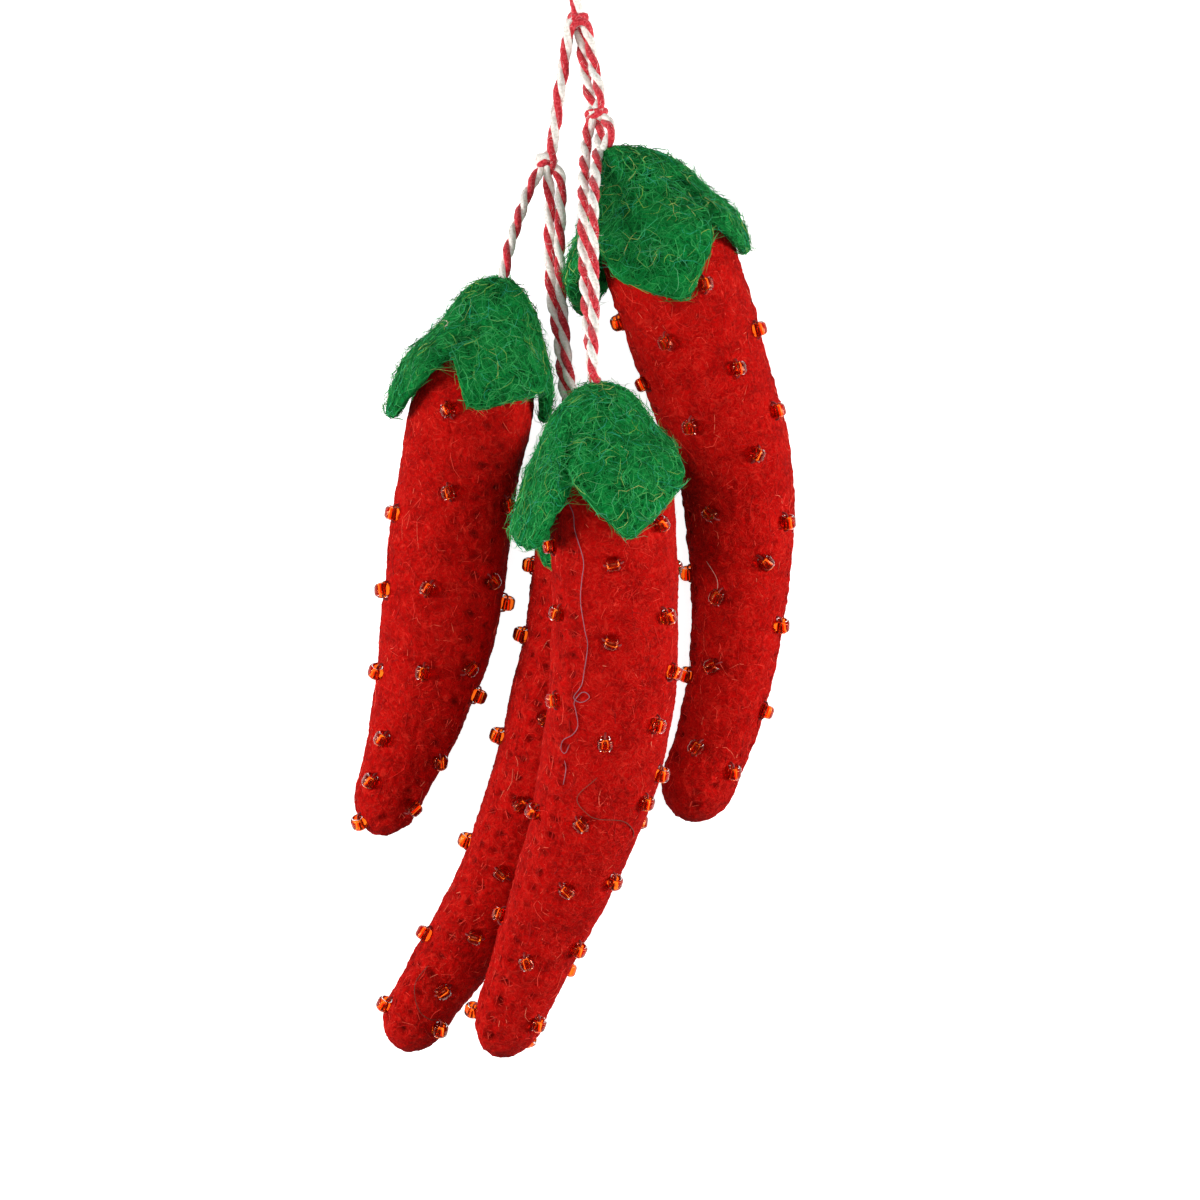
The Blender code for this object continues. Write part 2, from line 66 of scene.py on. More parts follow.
def smoothPath(points, step):   # points one step apart on a smooth curve through the given ones
    cuts = 24   # of each stretch between two given points, to measure its length
    points = [Vector(p) for p in points]
    ends = [2.0 * points[0] - points[1], *points, 2.0 * points[-1] - points[-2]]
    fine = [points[0]]
    for before, start, end, after in zip(ends, ends[1:], ends[2:], ends[3:]):
        for part in range(1, cuts + 1):
            t = part / cuts
            fine.append(0.5 * (2.0 * start + (end - before) * t
                               + (2.0 * before - 5.0 * start + 4.0 * end - after) * t ** 2
                               + (3.0 * start - before - 3.0 * end + after) * t ** 3))
    lengths = [0.0]
    for one, two in zip(fine, fine[1:]):
        lengths.append(lengths[-1] + (two - one).length)
    count = max(2, round(lengths[-1] / step))
    path = []
    index = 0
    for number in range(count + 1):
        wanted = lengths[-1] * number / count
        while index < len(fine) - 2 and lengths[index + 1] < wanted:
            index += 1
        share = (wanted - lengths[index]) / (lengths[index + 1] - lengths[index])
        path.append(fine[index].lerp(fine[index + 1], share))
    return path, lengths[-1]


# Camera: straight above the middle of the bunch, far enough away to see it without much perspective.
cameraView = {"height": 2.0, "photoWidth": 0.174, "lookAt": (0.00386, 0.00038), "filmWidth": 36.0,
              "nearest": 0.1, "farthest": 20.0}


def makeCamera():   # straight down, as the hanging bunch was seen from in front
    camera = bpy.data.cameras.new("camera")
    camera.sensor_width = cameraView["filmWidth"]
    camera.lens = cameraView["filmWidth"] * cameraView["height"] / cameraView["photoWidth"]
    camera.clip_start = cameraView["nearest"]
    camera.clip_end = cameraView["farthest"]
    holder = bpy.data.objects.new("camera", camera)
    holder.location = (*cameraView["lookAt"], cameraView["height"])
    bpy.context.scene.collection.objects.link(holder)
    bpy.context.scene.camera = holder


makeCamera()

# Red and white baker's twine of two plies.
twine = {
    "diameter": 1.4,        # over both plies, where they are drawn tight
    "plyWidth": 1.1,        # one soft ply, which fluffs out beyond that
    "plyOff": 0.36,         # from the middle of the twine to the middle of a ply
    "lay": 6.8,             # length of one full turn of the plies
    "knotLay": 15.0,        # they untwist where a knot is pulled tight
    "step": 0.30,           # between the rings of a ply
    "sides": 12,
    "flatness": (0.88, 1.04),   # a ply's section, outwards and sideways, where the two press together
    "endWidth": 0.55,       # of the last ring, so that cut ends are rounded
    "fineStrands": 5,       # the yarns that a ply itself is spun from
    "strandDepth": 0.045,
    "strandTwist": 2.1,     # radians for each millimetre
    "fluff": 0.03,
}

# The same points as the imported twine, given along each stretch.
stretches = {
    "twine_hanger": [(0.5, 86.5, 0.9), (0.0, 90.0, 0.8), (-1.6, 95.0, 0.75), (-4.6, 104.0, 0.75),
                     (-5.2, 113.0, 0.75), (-3.2, 120.0, 0.75), (0.3, 122.8, 0.75),
                     (3.8, 120.0, 0.75), (5.6, 113.0, 0.75), (4.8, 104.0, 0.75),
                     (2.0, 95.0, 1.2), (0.9, 90.0, 2.3), (0.7, 86.5, 2.75)],
    "twine_top_left_a": [(-0.6, 82.1, 0.9), (-1.6, 76.0, 0.8), (-2.4, 71.0, 0.8),
                         (-2.9, 66.3, 1.3)],
    "twine_top_left_b": [(-0.6, 82.1, 2.65), (-1.4, 76.0, 2.55), (-2.1, 71.0, 2.55),
                         (-2.8, 66.3, 3.05)],
    "twine_top_right_a": [(1.2, 82.3, 1.2), (1.8, 77.5, 3.6), (2.7, 72.95, 6.9)],
    "twine_top_right_b": [(2.4, 82.4, 2.7), (3.2, 77.5, 5.1), (4.1, 73.1, 8.3)],
    "twine_left": [(-5.2, 61.9, 2.9), (-6.6, 59.0, 4.6), (-8.1, 54.5, 8.2), (-9.2, 50.8, 10.9),
                   (-9.6, 48.5, 11.9)],
    "twine_back_a": [(-3.5, 62.0, 2.0), (-3.2, 58.6, 2.0), (-3.3, 51.3, 2.4), (-2.9, 44.1, 3.6),
                     (-1.9, 38.3, 5.4), (-1.5, 33.9, 7.6), (-0.9, 29.8, 10.0), (0.1, 27.2, 11.2)],
    "twine_back_b": [(-1.8, 62.1, 2.6), (-1.6, 58.6, 2.9), (-1.8, 51.3, 3.5), (-1.5, 44.1, 5.0),
                     (-1.0, 38.3, 7.2), (-0.6, 33.9, 9.5), (0.3, 29.8, 11.9), (1.3, 27.2, 12.7)],
    "twine_right": [(5.1, 69.6, 9.8), (5.6, 68.6, 11.2), (5.3, 66.9, 12.2)],
    "twine_front_a": [(2.3, 68.0, 8.4), (1.8, 63.0, 13.6), (1.6, 57.0, 20.0), (1.7, 50.0, 25.2),
                      (2.2, 41.0, 30.9), (2.7, 36.0, 35.0), (3.1, 32.7, 37.0)],
    "twine_front_b": [(4.1, 68.0, 8.8), (3.5, 63.0, 15.2), (3.1, 57.0, 22.6), (3.1, 50.0, 27.4),
                      (3.2, 41.0, 32.8), (3.0, 36.2, 37.0), (3.2, 32.9, 38.9)],
}
throughKnots = {   # where a strand passes through a knot
    "loopUp": (-0.1, 84.4, 0.9), "loopDown": (1.0, 84.4, 2.1),
    "overLeft": (0.0, 84.0, 3.0), "overRight": (1.6, 84.2, 3.2),
    "leftLow": (-3.8, 64.1, 1.7), "leftHigh": (-3.0, 64.1, 3.2),
    "rightLow": (3.9, 70.8, 8.2), "rightHigh": (3.2, 70.4, 8.9),
}
inCaps = {   # where a strand goes into the felt of a cap
    "left": (-10.2, 46.2, 12.4), "right": (4.6, 65.3, 12.4),
    "backA": (1.2, 26.2, 11.6), "backB": (2.2, 26.2, 12.6),
    "frontA": (3.6, 31.4, 37.6), "frontB": (3.6, 31.5, 38.6),
}
# Each cord is one run of twine: its stretches in turn, backwards where the sign is minus.
cordRuns = {
    "cord_loop": {"turn": 200, "route": ["left", "-twine_left", "leftLow", "-twine_top_left_a", "loopUp",
                                         "twine_hanger", "loopDown", "twine_top_right_a", "rightLow",
                                         "twine_right", "right"], "end": "object"},
    "cord_back_to_front": {"turn": 60, "route": ["backA", "-twine_back_a", "leftHigh", "-twine_top_left_b",
                                                 "overLeft", "overRight", "twine_top_right_b", "rightHigh",
                                                 "twine_front_a", "frontA"], "end": "object"},
    "cord_back": {"turn": 150, "route": ["backB", "-twine_back_b", "leftLow"], "end": "knot"},
    "cord_front": {"turn": 20, "route": ["frontB", "-twine_front_b", "rightLow"], "end": "knot"},
}
# Knots: middle, half sizes, and the turns of twine wound round them (tilts in degrees, start of the plies).
knots = {
    "knot_top": {"middle": (0.9, 84.4, 1.9), "half": (1.55, 1.6, 1.6),
                 "turns": [((62, 24, 12), 1.0, 150), ((74, -38, -24), 0.94, 40), ((84, 8, 30), 0.8, 250)]},
    "knot_left": {"middle": (-3.6, 64.1, 2.3), "half": (1.6, 1.55, 1.6),
                  "turns": [((66, -12, 6), 1.0, 330), ((78, 34, -32), 0.95, 120), ((90, -20, 20), 0.8, 10)]},
    "knot_right": {"middle": (3.6, 70.5, 8.0), "half": (1.75, 2.1, 1.65),
                   "turns": [((58, -16, -10), 1.0, 90), ((80, 30, 18), 0.95, 200),
                             ((100, 0, -36), 0.85, 140)]},
}
knotTurn = {"points": 15, "start": -8, "sweep": 376, "tuckedIn": 0.42, "rise": 0.35, "bulge": 1.12,
            "step": 0.22}


def routePoints(route):
    points = []
    for name in route:
        if name in stretches:
            points += stretches[name]
        elif name[1:] in stretches:
            points += stretches[name[1:]][::-1]
        else:
            points.append({**throughKnots, **inCaps}[name])
    return points


def carriedFrames(path):   # two directions across the path at each point, carried along without twisting
    across = Vector((0.3, 0.2, 1.0))
    frames = []
    for index, point in enumerate(path):
        along = (path[min(index + 1, len(path) - 1)] - path[max(index - 1, 0)]).normalized()
        across = (across - along * across.dot(along)).normalized()
        frames.append((point, across, along.cross(across)))
    return frames


def ringFaces(rings, sides, first=0):   # round a tube, from each ring of points to the next one
    faces = []
    for ring in range(rings - 1):
        low = first + ring * sides
        for side in range(sides):
            after = (side + 1) % sides
            faces.append((low + side, low + after, low + sides + after, low + sides + side))
    return faces


def endFaces(rings, sides):   # flat ends of a tube
    last = (rings - 1) * sides
    return [tuple(range(sides - 1, -1, -1)), tuple(range(last, last + sides))]


def poleFaces(head, tip, sides, first, last):   # pointed ends, from the poles to the first and last ring
    faces = []
    for side in range(sides):
        after = (side + 1) % sides
        faces.append((head, first + after, first + side))
        faces.append((tip, last + side, last + after))
    return faces


def plyTube(path, startTurn, ply, lay):   # rings of points and faces of one of the two plies
    frames = carriedFrames(path)
    step = (path[1] - path[0]).length
    verts, uvs = [], []
    sides = twine["sides"]
    outwards, sideways = twine["flatness"]
    for index, (point, one, two) in enumerate(frames):
        turn = -math.tau * index * step / lay + math.radians(startTurn) + math.pi * ply
        out = math.cos(turn) * one + math.sin(turn) * two
        side = -math.sin(turn) * one + math.cos(turn) * two
        narrow = twine["endWidth"] if index in (0, len(frames) - 1) else 1.0
        for number in range(sides):
            angle = math.tau * number / sides
            strand = math.cos(twine["fineStrands"] * angle - twine["strandTwist"] * index * step)
            radius = narrow * (0.5 * twine["plyWidth"] + twine["strandDepth"] * strand)
            radius += twine["fluff"] * noise.noise(point * 1.7 + Vector((ply * 9.0, number * 0.2, 0.0)))
            verts.append(placed(point + out * (twine["plyOff"] + outwards * radius * math.cos(angle))
                                + side * sideways * radius * math.sin(angle)))
            uvs.append((number / sides, index * step * mm))
    return verts, ringFaces(len(frames), sides) + endFaces(len(frames), sides), uvs


def meshOf(name, verts, faces, fields=()):   # fields are (name, one number for each point)
    mesh = bpy.data.meshes.new(name)
    mesh.from_pydata([tuple(v) for v in verts], [], faces)
    mesh.update()
    mesh.shade_smooth()
    for field, values in fields:
        mesh.attributes.new(field, "FLOAT", "POINT").data.foreach_set("value", values)
    return mesh


def pieceOf(name, mesh, materials=()):
    piece = bpy.data.objects.new(name, mesh)
    bpy.context.scene.collection.objects.link(piece)
    for material in materials:
        mesh.materials.append(material)
    return piece


def surfaceOf(piece):   # in millimetres of the drawing
    verts = [v.co / mm + middleOfBunch for v in piece.data.vertices]
    return BVHTree.FromPolygons(verts, [tuple(p.vertices) for p in piece.data.polygons])


def twistedTwine(name, runs, materials, lay):   # one mesh of the two plies along each (path, start turn)
    verts, faces, slots, uvs = [], [], [], []
    for path, startTurn in runs:
        for ply in (0, 1):
            plyVerts, plyFaces, plyUvs = plyTube(path, startTurn, ply, lay)
            faces += [tuple(i + len(verts) for i in face) for face in plyFaces]
            slots += [ply] * len(plyFaces)
            verts += plyVerts
            uvs += plyUvs
    mesh = meshOf(name, verts, faces, [("bare", [1.0] * len(verts))])
    piece = pieceOf(name, mesh, materials)
    mesh.polygons.foreach_set("material_index", slots)
    layer = mesh.uv_layers.new(name="alongPly")
    for loop in mesh.loops:
        layer.data[loop.index].uv = uvs[loop.vertex_index]
    return piece


def knotTurns(knot):   # each turn is nearly a ring round the knot's middle, its ends tucked in
    thick = 0.5 * twine["diameter"]
    half = knot["half"]
    last = knotTurn["points"] - 1
    runs = []
    for tilt, share, startTurn in knot["turns"]:
        turn = Euler([math.radians(a) for a in tilt]).to_matrix()
        points = []
        for number in range(knotTurn["points"]):
            angle = math.radians(knotTurn["start"] + knotTurn["sweep"] * number / last)
            fromMiddle = abs(2 * number - last) / last
            tuck = 1.0 - knotTurn["tuckedIn"] * smoothStep(fromMiddle * 3.2 - 2.2)
            rise = knotTurn["rise"] * (number / last - 0.5) * thick
            point = Vector((math.cos(angle) * (half[0] - thick), math.sin(angle) * (half[2] - thick), rise))
            points.append(Vector(knot["middle"]) + turn @ (point * share * tuck * knotTurn["bulge"]))
        path, _ = smoothPath(points, knotTurn["step"])
        runs.append((path, startTurn))
    return runs


# Materials are made of nodes in real millimetres.
def addNode(tree, kind, inputs=(), **settings):   # inputs by place or name, where a node is its first output
    node = tree.nodes.new(kind)
    for name, value in settings.items():
        setattr(node, name, value)
    for name, value in (inputs if isinstance(inputs, dict) else dict(enumerate(inputs))).items():
        if isinstance(value, bpy.types.Node):
            value = value.outputs[0]
        if isinstance(value, bpy.types.NodeSocket):
            tree.links.new(value, node.inputs[name])
        else:
            node.inputs[name].default_value = value
    return node


def linear(hexColour):   # sRGB hex to the linear values that the shaders take
    values = [int(hexColour[i:i + 2], 16) / 255.0 for i in (1, 3, 5)]
    return (*[v / 12.92 if v <= 0.04045 else ((v + 0.055) / 1.055) ** 2.4 for v in values], 1.0)


def perMm(size):   # a noise scale whose patches are this many millimetres across
    return 1.0 / (size * mm)


def setRamp(ramp, stops):   # stops are (place, hex colour)
    while len(ramp.elements) > 1:
        ramp.elements.remove(ramp.elements[-1])
    for number, (place, colour) in enumerate(stops):
        element = ramp.elements[0] if number == 0 else ramp.elements.new(place)
        element.position = place
        element.color = linear(colour)


def newMaterial(name, roughness, **fixed):
    material = bpy.data.materials.new(name)
    material.use_nodes = True
    tree = material.node_tree
    shader = tree.nodes["Principled BSDF"]
    shader.inputs["Roughness"].default_value = roughness
    for socket, value in fixed.items():
        shader.inputs[socket].default_value = value
    return material, tree, shader


# Needled wool felt: matt, mottled where the wool is thin or thick, drawn over with curled fibres, and with
# painted shade mixed in at stitch holes and round beads.
redFelt = {
    "dark": "#8C0403", "middle": "#A80604", "light": "#BA0C08", "fibre": "#D42C20", "paintedShade": "#360201",
    "patch": 3.0, "grain": 0.6, "fibreBend": 2.2, "fibresAcross": 7.0, "bump": 0.26,
}
greenFelt = {
    "dark": "#013314", "middle": "#04682C", "light": "#0C863C", "fibre": "#2FA24C", "paintedShade": "#021E0C",
    "patch": 3.4, "grain": 0.7, "fibreBend": 3.0, "fibresAcross": 9.0, "bump": 0.22,
}


def feltMaterial(name, look):
    material, tree, shader = newMaterial(name, 0.96, **{"Specular IOR Level": 0.04})
    place = addNode(tree, "ShaderNodeTexCoord").outputs["Object"]
    patches = addNode(tree, "ShaderNodeTexNoise", {"Vector": place, "Scale": perMm(look["patch"]),
                                                   "Detail": 3.0})
    grain = addNode(tree, "ShaderNodeTexNoise", {"Vector": place, "Scale": perMm(look["grain"]),
                                                 "Detail": 3.0, "Roughness": 0.65, "Distortion": 0.6})
    mixed = addNode(tree, "ShaderNodeMath", (patches, 0.45), operation="MULTIPLY")
    mixed = addNode(tree, "ShaderNodeMath", (grain, 0.75, mixed), operation="MULTIPLY_ADD")
    base = addNode(tree, "ShaderNodeValToRGB", {"Fac": mixed})
    setRamp(base.color_ramp, [(0.475, look["dark"]), (0.58, look["middle"]), (0.70, look["light"])])
    colour, height = base.outputs["Color"], grain
    for number, bend in enumerate((look["fibreBend"], 0.6 * look["fibreBend"])):
        # Lines of equal noise curl like fibres.
        moved = addNode(tree, "ShaderNodeMapping", {"Vector": place,
                                                    "Location": (0.013 * number, 0.02, 0.007)})
        field = addNode(tree, "ShaderNodeTexNoise", {"Vector": moved, "Scale": perMm(bend), "Detail": 1.5,
                                                     "Distortion": 0.8})
        folded = addNode(tree, "ShaderNodeMath", (field, look["fibresAcross"]), operation="MULTIPLY")
        folded = addNode(tree, "ShaderNodeMath", (folded, 0.5), operation="PINGPONG")
        line = addNode(tree, "ShaderNodeMapRange", {"Value": folded, "From Min": 0.0, "From Max": 0.16,
                                                    "To Min": 1.0, "To Max": 0.0})
        share = addNode(tree, "ShaderNodeMath", (line, patches), operation="MULTIPLY", use_clamp=True)
        over = addNode(tree, "ShaderNodeMix", {"Factor": share, 6: colour, 7: linear(look["fibre"])},
                       data_type="RGBA")
        colour = over.outputs[2]
        height = addNode(tree, "ShaderNodeMath", (line, 0.3, height), operation="MULTIPLY_ADD")
    # Painted shade: a near-black colour mixed in where the skin's field says, at stitch and needle holes and
    # round each bead.
    paintedShade = addNode(tree, "ShaderNodeAttribute", attribute_name="paintedShade").outputs["Fac"]
    paintedShadeMix = addNode(tree, "ShaderNodeMix", {"Factor": paintedShade, 6: colour, 7: linear(look["paintedShade"])},
                    data_type="RGBA")
    tree.links.new(paintedShadeMix.outputs[2], shader.inputs["Base Color"])
    bump = addNode(tree, "ShaderNodeBump", {"Height": height, "Strength": 0.85,
                                            "Distance": look["bump"] * mm})
    tree.links.new(bump.outputs[0], shader.inputs["Normal"])
    return material


# Loose wool fibres on the felt: each has its own tint, and a little gloss along it.
redFibreTints = [(0.0, "#860302"), (0.33, "#AE0805"), (0.6, "#D61E16"), (0.93, "#E84434"), (1.0, "#DC6E54")]
greenFibreTints = [(0.0, "#035220"), (0.22, "#0A7A34"), (0.5, "#1C9A48"), (0.8, "#46B862"),
                   (0.9, "#27A07E"), (0.97, "#7CB84A"), (1.0, "#B8CC74")]
whiskerTints = [(0.0, "#B40D08"), (0.6, "#D02418"), (1.0, "#DE5444")]
twineHairTints = [(0.0, "#C5303C"), (0.45, "#E8A8A8"), (0.5, "#F2ECE2"), (1.0, "#FAF6F0")]


def fibreMaterial(name, tints):
    material, tree, shader = newMaterial(name, 0.75, **{"Specular IOR Level": 0.12})
    tint = addNode(tree, "ShaderNodeAttribute", attribute_name="tint").outputs["Fac"]
    colours = addNode(tree, "ShaderNodeValToRGB", {"Fac": tint})
    setRamp(colours.color_ramp, tints)
    tree.links.new(colours.outputs["Color"], shader.inputs["Base Color"])
    return material


# Spun cotton: soft, matt, with the slanted ridges of its fine yarns. Each has its colour, dark and light.
cottons = {"red": ("#CC2632", "#9E1420", "#E05E64"), "white": ("#F2EDE4", "#D8D0C4", "#FCF9F4")}


def cottonMaterial(name, colours):
    material, tree, shader = newMaterial(name, 0.9, **{"Specular IOR Level": 0.2, "Sheen Weight": 0.2})
    middle, dark, light = colours
    place = addNode(tree, "ShaderNodeTexCoord").outputs["Object"]
    along = addNode(tree, "ShaderNodeUVMap", uv_map="alongPly")
    slant = addNode(tree, "ShaderNodeMapping", {"Vector": along, "Scale": (1.0, 900.0, 1.0)})
    yarns = addNode(tree, "ShaderNodeTexWave", {"Vector": slant, "Scale": 1.6, "Distortion": 1.5,
                                                "Detail": 2.0}, bands_direction="DIAGONAL").outputs["Fac"]
    fluff = addNode(tree, "ShaderNodeTexNoise", {"Vector": place, "Scale": perMm(0.35), "Detail": 3.0})
    shades = addNode(tree, "ShaderNodeValToRGB", {"Fac": fluff})
    setRamp(shades.color_ramp, [(0.3, dark), (0.5, middle), (0.72, light)])
    tree.links.new(shades.outputs["Color"], shader.inputs["Base Color"])
    height = addNode(tree, "ShaderNodeMath", (yarns, 0.5, fluff), operation="MULTIPLY_ADD")
    bump = addNode(tree, "ShaderNodeBump", {"Height": height, "Strength": 0.7, "Distance": 0.08 * mm})
    tree.links.new(bump.outputs[0], shader.inputs["Normal"])
    return material


# Pressed glass seed beads: clear orange-red, polished by tumbling, so the hole's edges are round.
beadGlass = {"colour": "#FF7A1C", "deep": "#FF500E", "glint": "#FF9868", "roughness": 0.16, "ior": 1.42,
             "melt": 1.6}


def glassMaterial():
    material, tree, shader = newMaterial("orangeSeedBeadGlass", beadGlass["roughness"],
                                         **{"Transmission Weight": 1.0, "IOR": beadGlass["ior"],
                                            "Specular Tint": linear(beadGlass["glint"])})
    place = addNode(tree, "ShaderNodeTexCoord").outputs["Object"]
    melt = addNode(tree, "ShaderNodeTexNoise", {"Vector": place, "Scale": perMm(beadGlass["melt"]),
                                                "Detail": 1.0})
    shades = addNode(tree, "ShaderNodeValToRGB", {"Fac": melt})
    setRamp(shades.color_ramp, [(0.35, beadGlass["deep"]), (0.65, beadGlass["colour"])])
    tree.links.new(shades.outputs["Color"], shader.inputs["Base Color"])
    return material


redFeltMaterial = feltMaterial("needledRedWoolFelt", redFelt)
greenFeltMaterial = feltMaterial("needledGreenWoolFelt", greenFelt)
redFibreMaterial = fibreMaterial("looseRedWool", redFibreTints)
greenFibreMaterial = fibreMaterial("looseGreenWool", greenFibreTints)
whiskerMaterial = fibreMaterial("redWoolWhiskers", whiskerTints)
twineHairMaterial = fibreMaterial("cottonHairs", twineHairTints)
redCotton = cottonMaterial("spunRedCotton", cottons["red"])
whiteCotton = cottonMaterial("spunWhiteCotton", cottons["white"])
glass = glassMaterial()
print("materials made")


# The chillies' form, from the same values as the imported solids.
feltThickness = 1.6
tipDome = 6.0         # over this length the tip rounds off
seamRidge = 0.3       # how far the two sewn edges stand out
peakReach = 11.0      # felt round the cap's middle that the twine pulls up
leafNotch = 14.5      # felt from the cap's middle to a notch
cornerTurn = 6.0      # degrees from a notch to the leaf's corner
flattestTurn = 42.0   # degrees from its middle, past which a leaf gets no flatter

# Spines run from under the cap to the tip. Angles are in degrees round the spine, from straight up towards
# the right. A leaf is the angles of its left notch, tip and right notch, the felt from the cap's middle to
# its left corner, tip and right corner, and how far the tip stands off, which begins liftStart along it.
# Shown beads are where each stands on the table's plane as seen from above.
chillies = {
    "left": {
        "spine": [(-10.8, 43.4, 12.0), (-13.6, 31.5, 11.7), (-16.9, 15.1, 9.6), (-19.3, -3.5, 8.3),
                  (-22.6, -16.8, 6.9), (-28.7, -33.3, 4.2)],
        "headWidth": 17.8, "tipWidth": 7.2, "taper": (0.5, 1.12), "headDome": 17.0,
        "seam": (16, 60), "capPeak": (0.4, 1.6, 0.0), "capClearance": 0.45, "leafFlatness": 0.6,
        "leaves": [(-26, -3, 60, 15.5, 21.5, 17.5, 0.6), (60, 88, 128, 18.0, 22.5, 17.0, 0.0),
                   (128, 178, 226, 19.0, 25.0, 19.0, 0.0), (226, 284, 334, 19.0, 26.5, 17.0, 1.4)],
        "shownBeads": [(-18.0, 28.1), (-23.5, 27.0), (-17.9, 16.2), (-26.0, 13.2), (-20.9, 2.2),
                       (-27.5, 2.0), (-11.5, 3.3), (-5.9, 28.7), (-9.4, 14.4), (-8.9, 0.1), (-28.4, -9.7),
                       (-21.6, -9.9), (-14.8, -9.4), (-13.5, -13.3), (-27.5, -19.5), (-19.1, -22.9),
                       (-29.2, -25.6), (-22.9, -29.6), (-31.1, -32.0)],
        "liftStart": 11.0, "beadTurn": -15, "beadStart": 17.0, "seed": 3,
    },
    "right": {
        "spine": [(10.7, 62.5, 12.1), (14.2, 49.4, 12.0), (19.0, 34.6, 10.4), (23.6, 19.6, 8.0),
                  (24.2, 4.0, 6.9), (22.5, -12.6, 5.9), (16.4, -31.4, 4.5)],
        "headWidth": 18.5, "tipWidth": 8.8, "taper": (0.1, 1.12), "headDome": 13.0,
        "seam": (-80, -84), "capPeak": (-5.0, 1.2, 0.0), "capClearance": 0.45, "leafFlatness": 0.6,
        "leaves": [(-48, 3, 36, 20.5, 26.5, 20.0, 0.4), (36, 86, 132, 18.5, 23.5, 18.5, 0.0),
                   (132, 178, 216, 19.0, 26.0, 19.0, 0.0), (216, 256, 312, 23.5, 25.0, 18.0, 3.7)],
        "shownBeads": [(22.9, 52.3), (19.3, 46.4), (6.2, 40.6), (27.1, 39.9), (13.6, 38.0), (24.1, 34.2),
                       (10.3, 31.9), (29.8, 28.1), (17.1, 25.7), (26.8, 21.7), (20.1, 13.1), (31.3, 11.9),
                       (28.1, 6.0), (16.4, 4.5), (21.0, 1.0), (30.4, -3.1), (20.3, -9.0), (16.6, -10.2),
                       (28.1, -15.5), (18.0, -20.8), (23.4, -24.4)],
        "liftStart": 3.0, "beadTurn": -28, "beadStart": 26.0, "seed": 11,
    },
    "back": {
        "spine": [(3.5, 22.9, 12.0), (3.7, 12.0, 11.8), (2.9, 3.5, 11.0), (1.7, -5.2, 9.5),
                  (-2.2, -21.5, 7.9), (-8.8, -38.3, 6.6), (-21.5, -58.1, 4.6), (-25.5, -64.1, 4.1)],
        "headWidth": 17.3, "tipWidth": 8.5, "taper": (0.4, 1.1), "headDome": 12.0,
        "seam": (-45, -30), "capPeak": (-2.2, 0.8, 0.0), "capClearance": 0.4, "leafFlatness": 0.0,
        "leaves": [(-74, -40, 8, 17.0, 25.0, 19.0, 0.2), (8, 50, 92, 19.0, 25.0, 18.0, 0.0),
                   (92, 142, 190, 19.0, 25.0, 19.0, 0.0), (190, 228, 254, 19.0, 22.0, 16.5, 0.0)],
        "shownBeads": [(-7.2, 5.8), (-7.4, -4.4), (-3.9, -16.6), (-10.8, -19.0), (-7.4, -29.1),
                       (-15.4, -34.2), (-10.2, -39.1), (-21.4, -47.7), (-14.1, -48.3), (-18.7, -56.2),
                       (-27.1, -57.9), (-19.1, -61.7)],
        "liftStart": 11.0, "beadTurn": -20, "beadStart": 29.0, "seed": 5,
    },
    "front": {
        "spine": [(3.9, 28.4, 37.6), (5.5, 17.7, 37.0), (6.3, 2.0, 34.2), (5.6, -13.7, 29.6),
                  (2.3, -30.5, 23.5), (-5.4, -50.3, 15.4), (-11.2, -65.0, 9.6)],
        "headWidth": 18.3, "tipWidth": 8.5, "taper": (0.4, 1.1), "headDome": 13.5,
        "seam": (-52, -36), "capPeak": (-0.2, 0.9, 0.1), "capClearance": 0.45, "leafFlatness": 0.5,
        "leaves": [(-30, 10, 62, 17.5, 25.5, 18.5, 0.4), (118, 150, 184, 18.0, 24.0, 18.0, 0.0),
                   (184, 212, 240, 18.0, 24.0, 18.0, 0.0), (240, 308, 330, 24.0, 26.2, 20.5, 4.4)],
        "shownBeads": [(-3.1, 8.3), (6.0, 5.7), (13.0, 11.6), (-2.2, -1.3), (5.7, -5.7), (14.0, -1.8),
                       (14.8, -10.0), (-2.7, -14.0), (12.5, -17.6), (4.8, -20.3), (13.0, -24.7),
                       (10.8, -28.8), (1.3, -32.0), (-5.6, -30.0), (-0.8, -41.6), (6.2, -40.3),
                       (-10.9, -44.8), (-6.6, -52.0), (1.0, -50.1), (-14.6, -58.7), (-4.9, -60.9)],
        "liftStart": 11.0, "beadTurn": 0, "beadStart": 25.0, "seed": 8,
    },
}


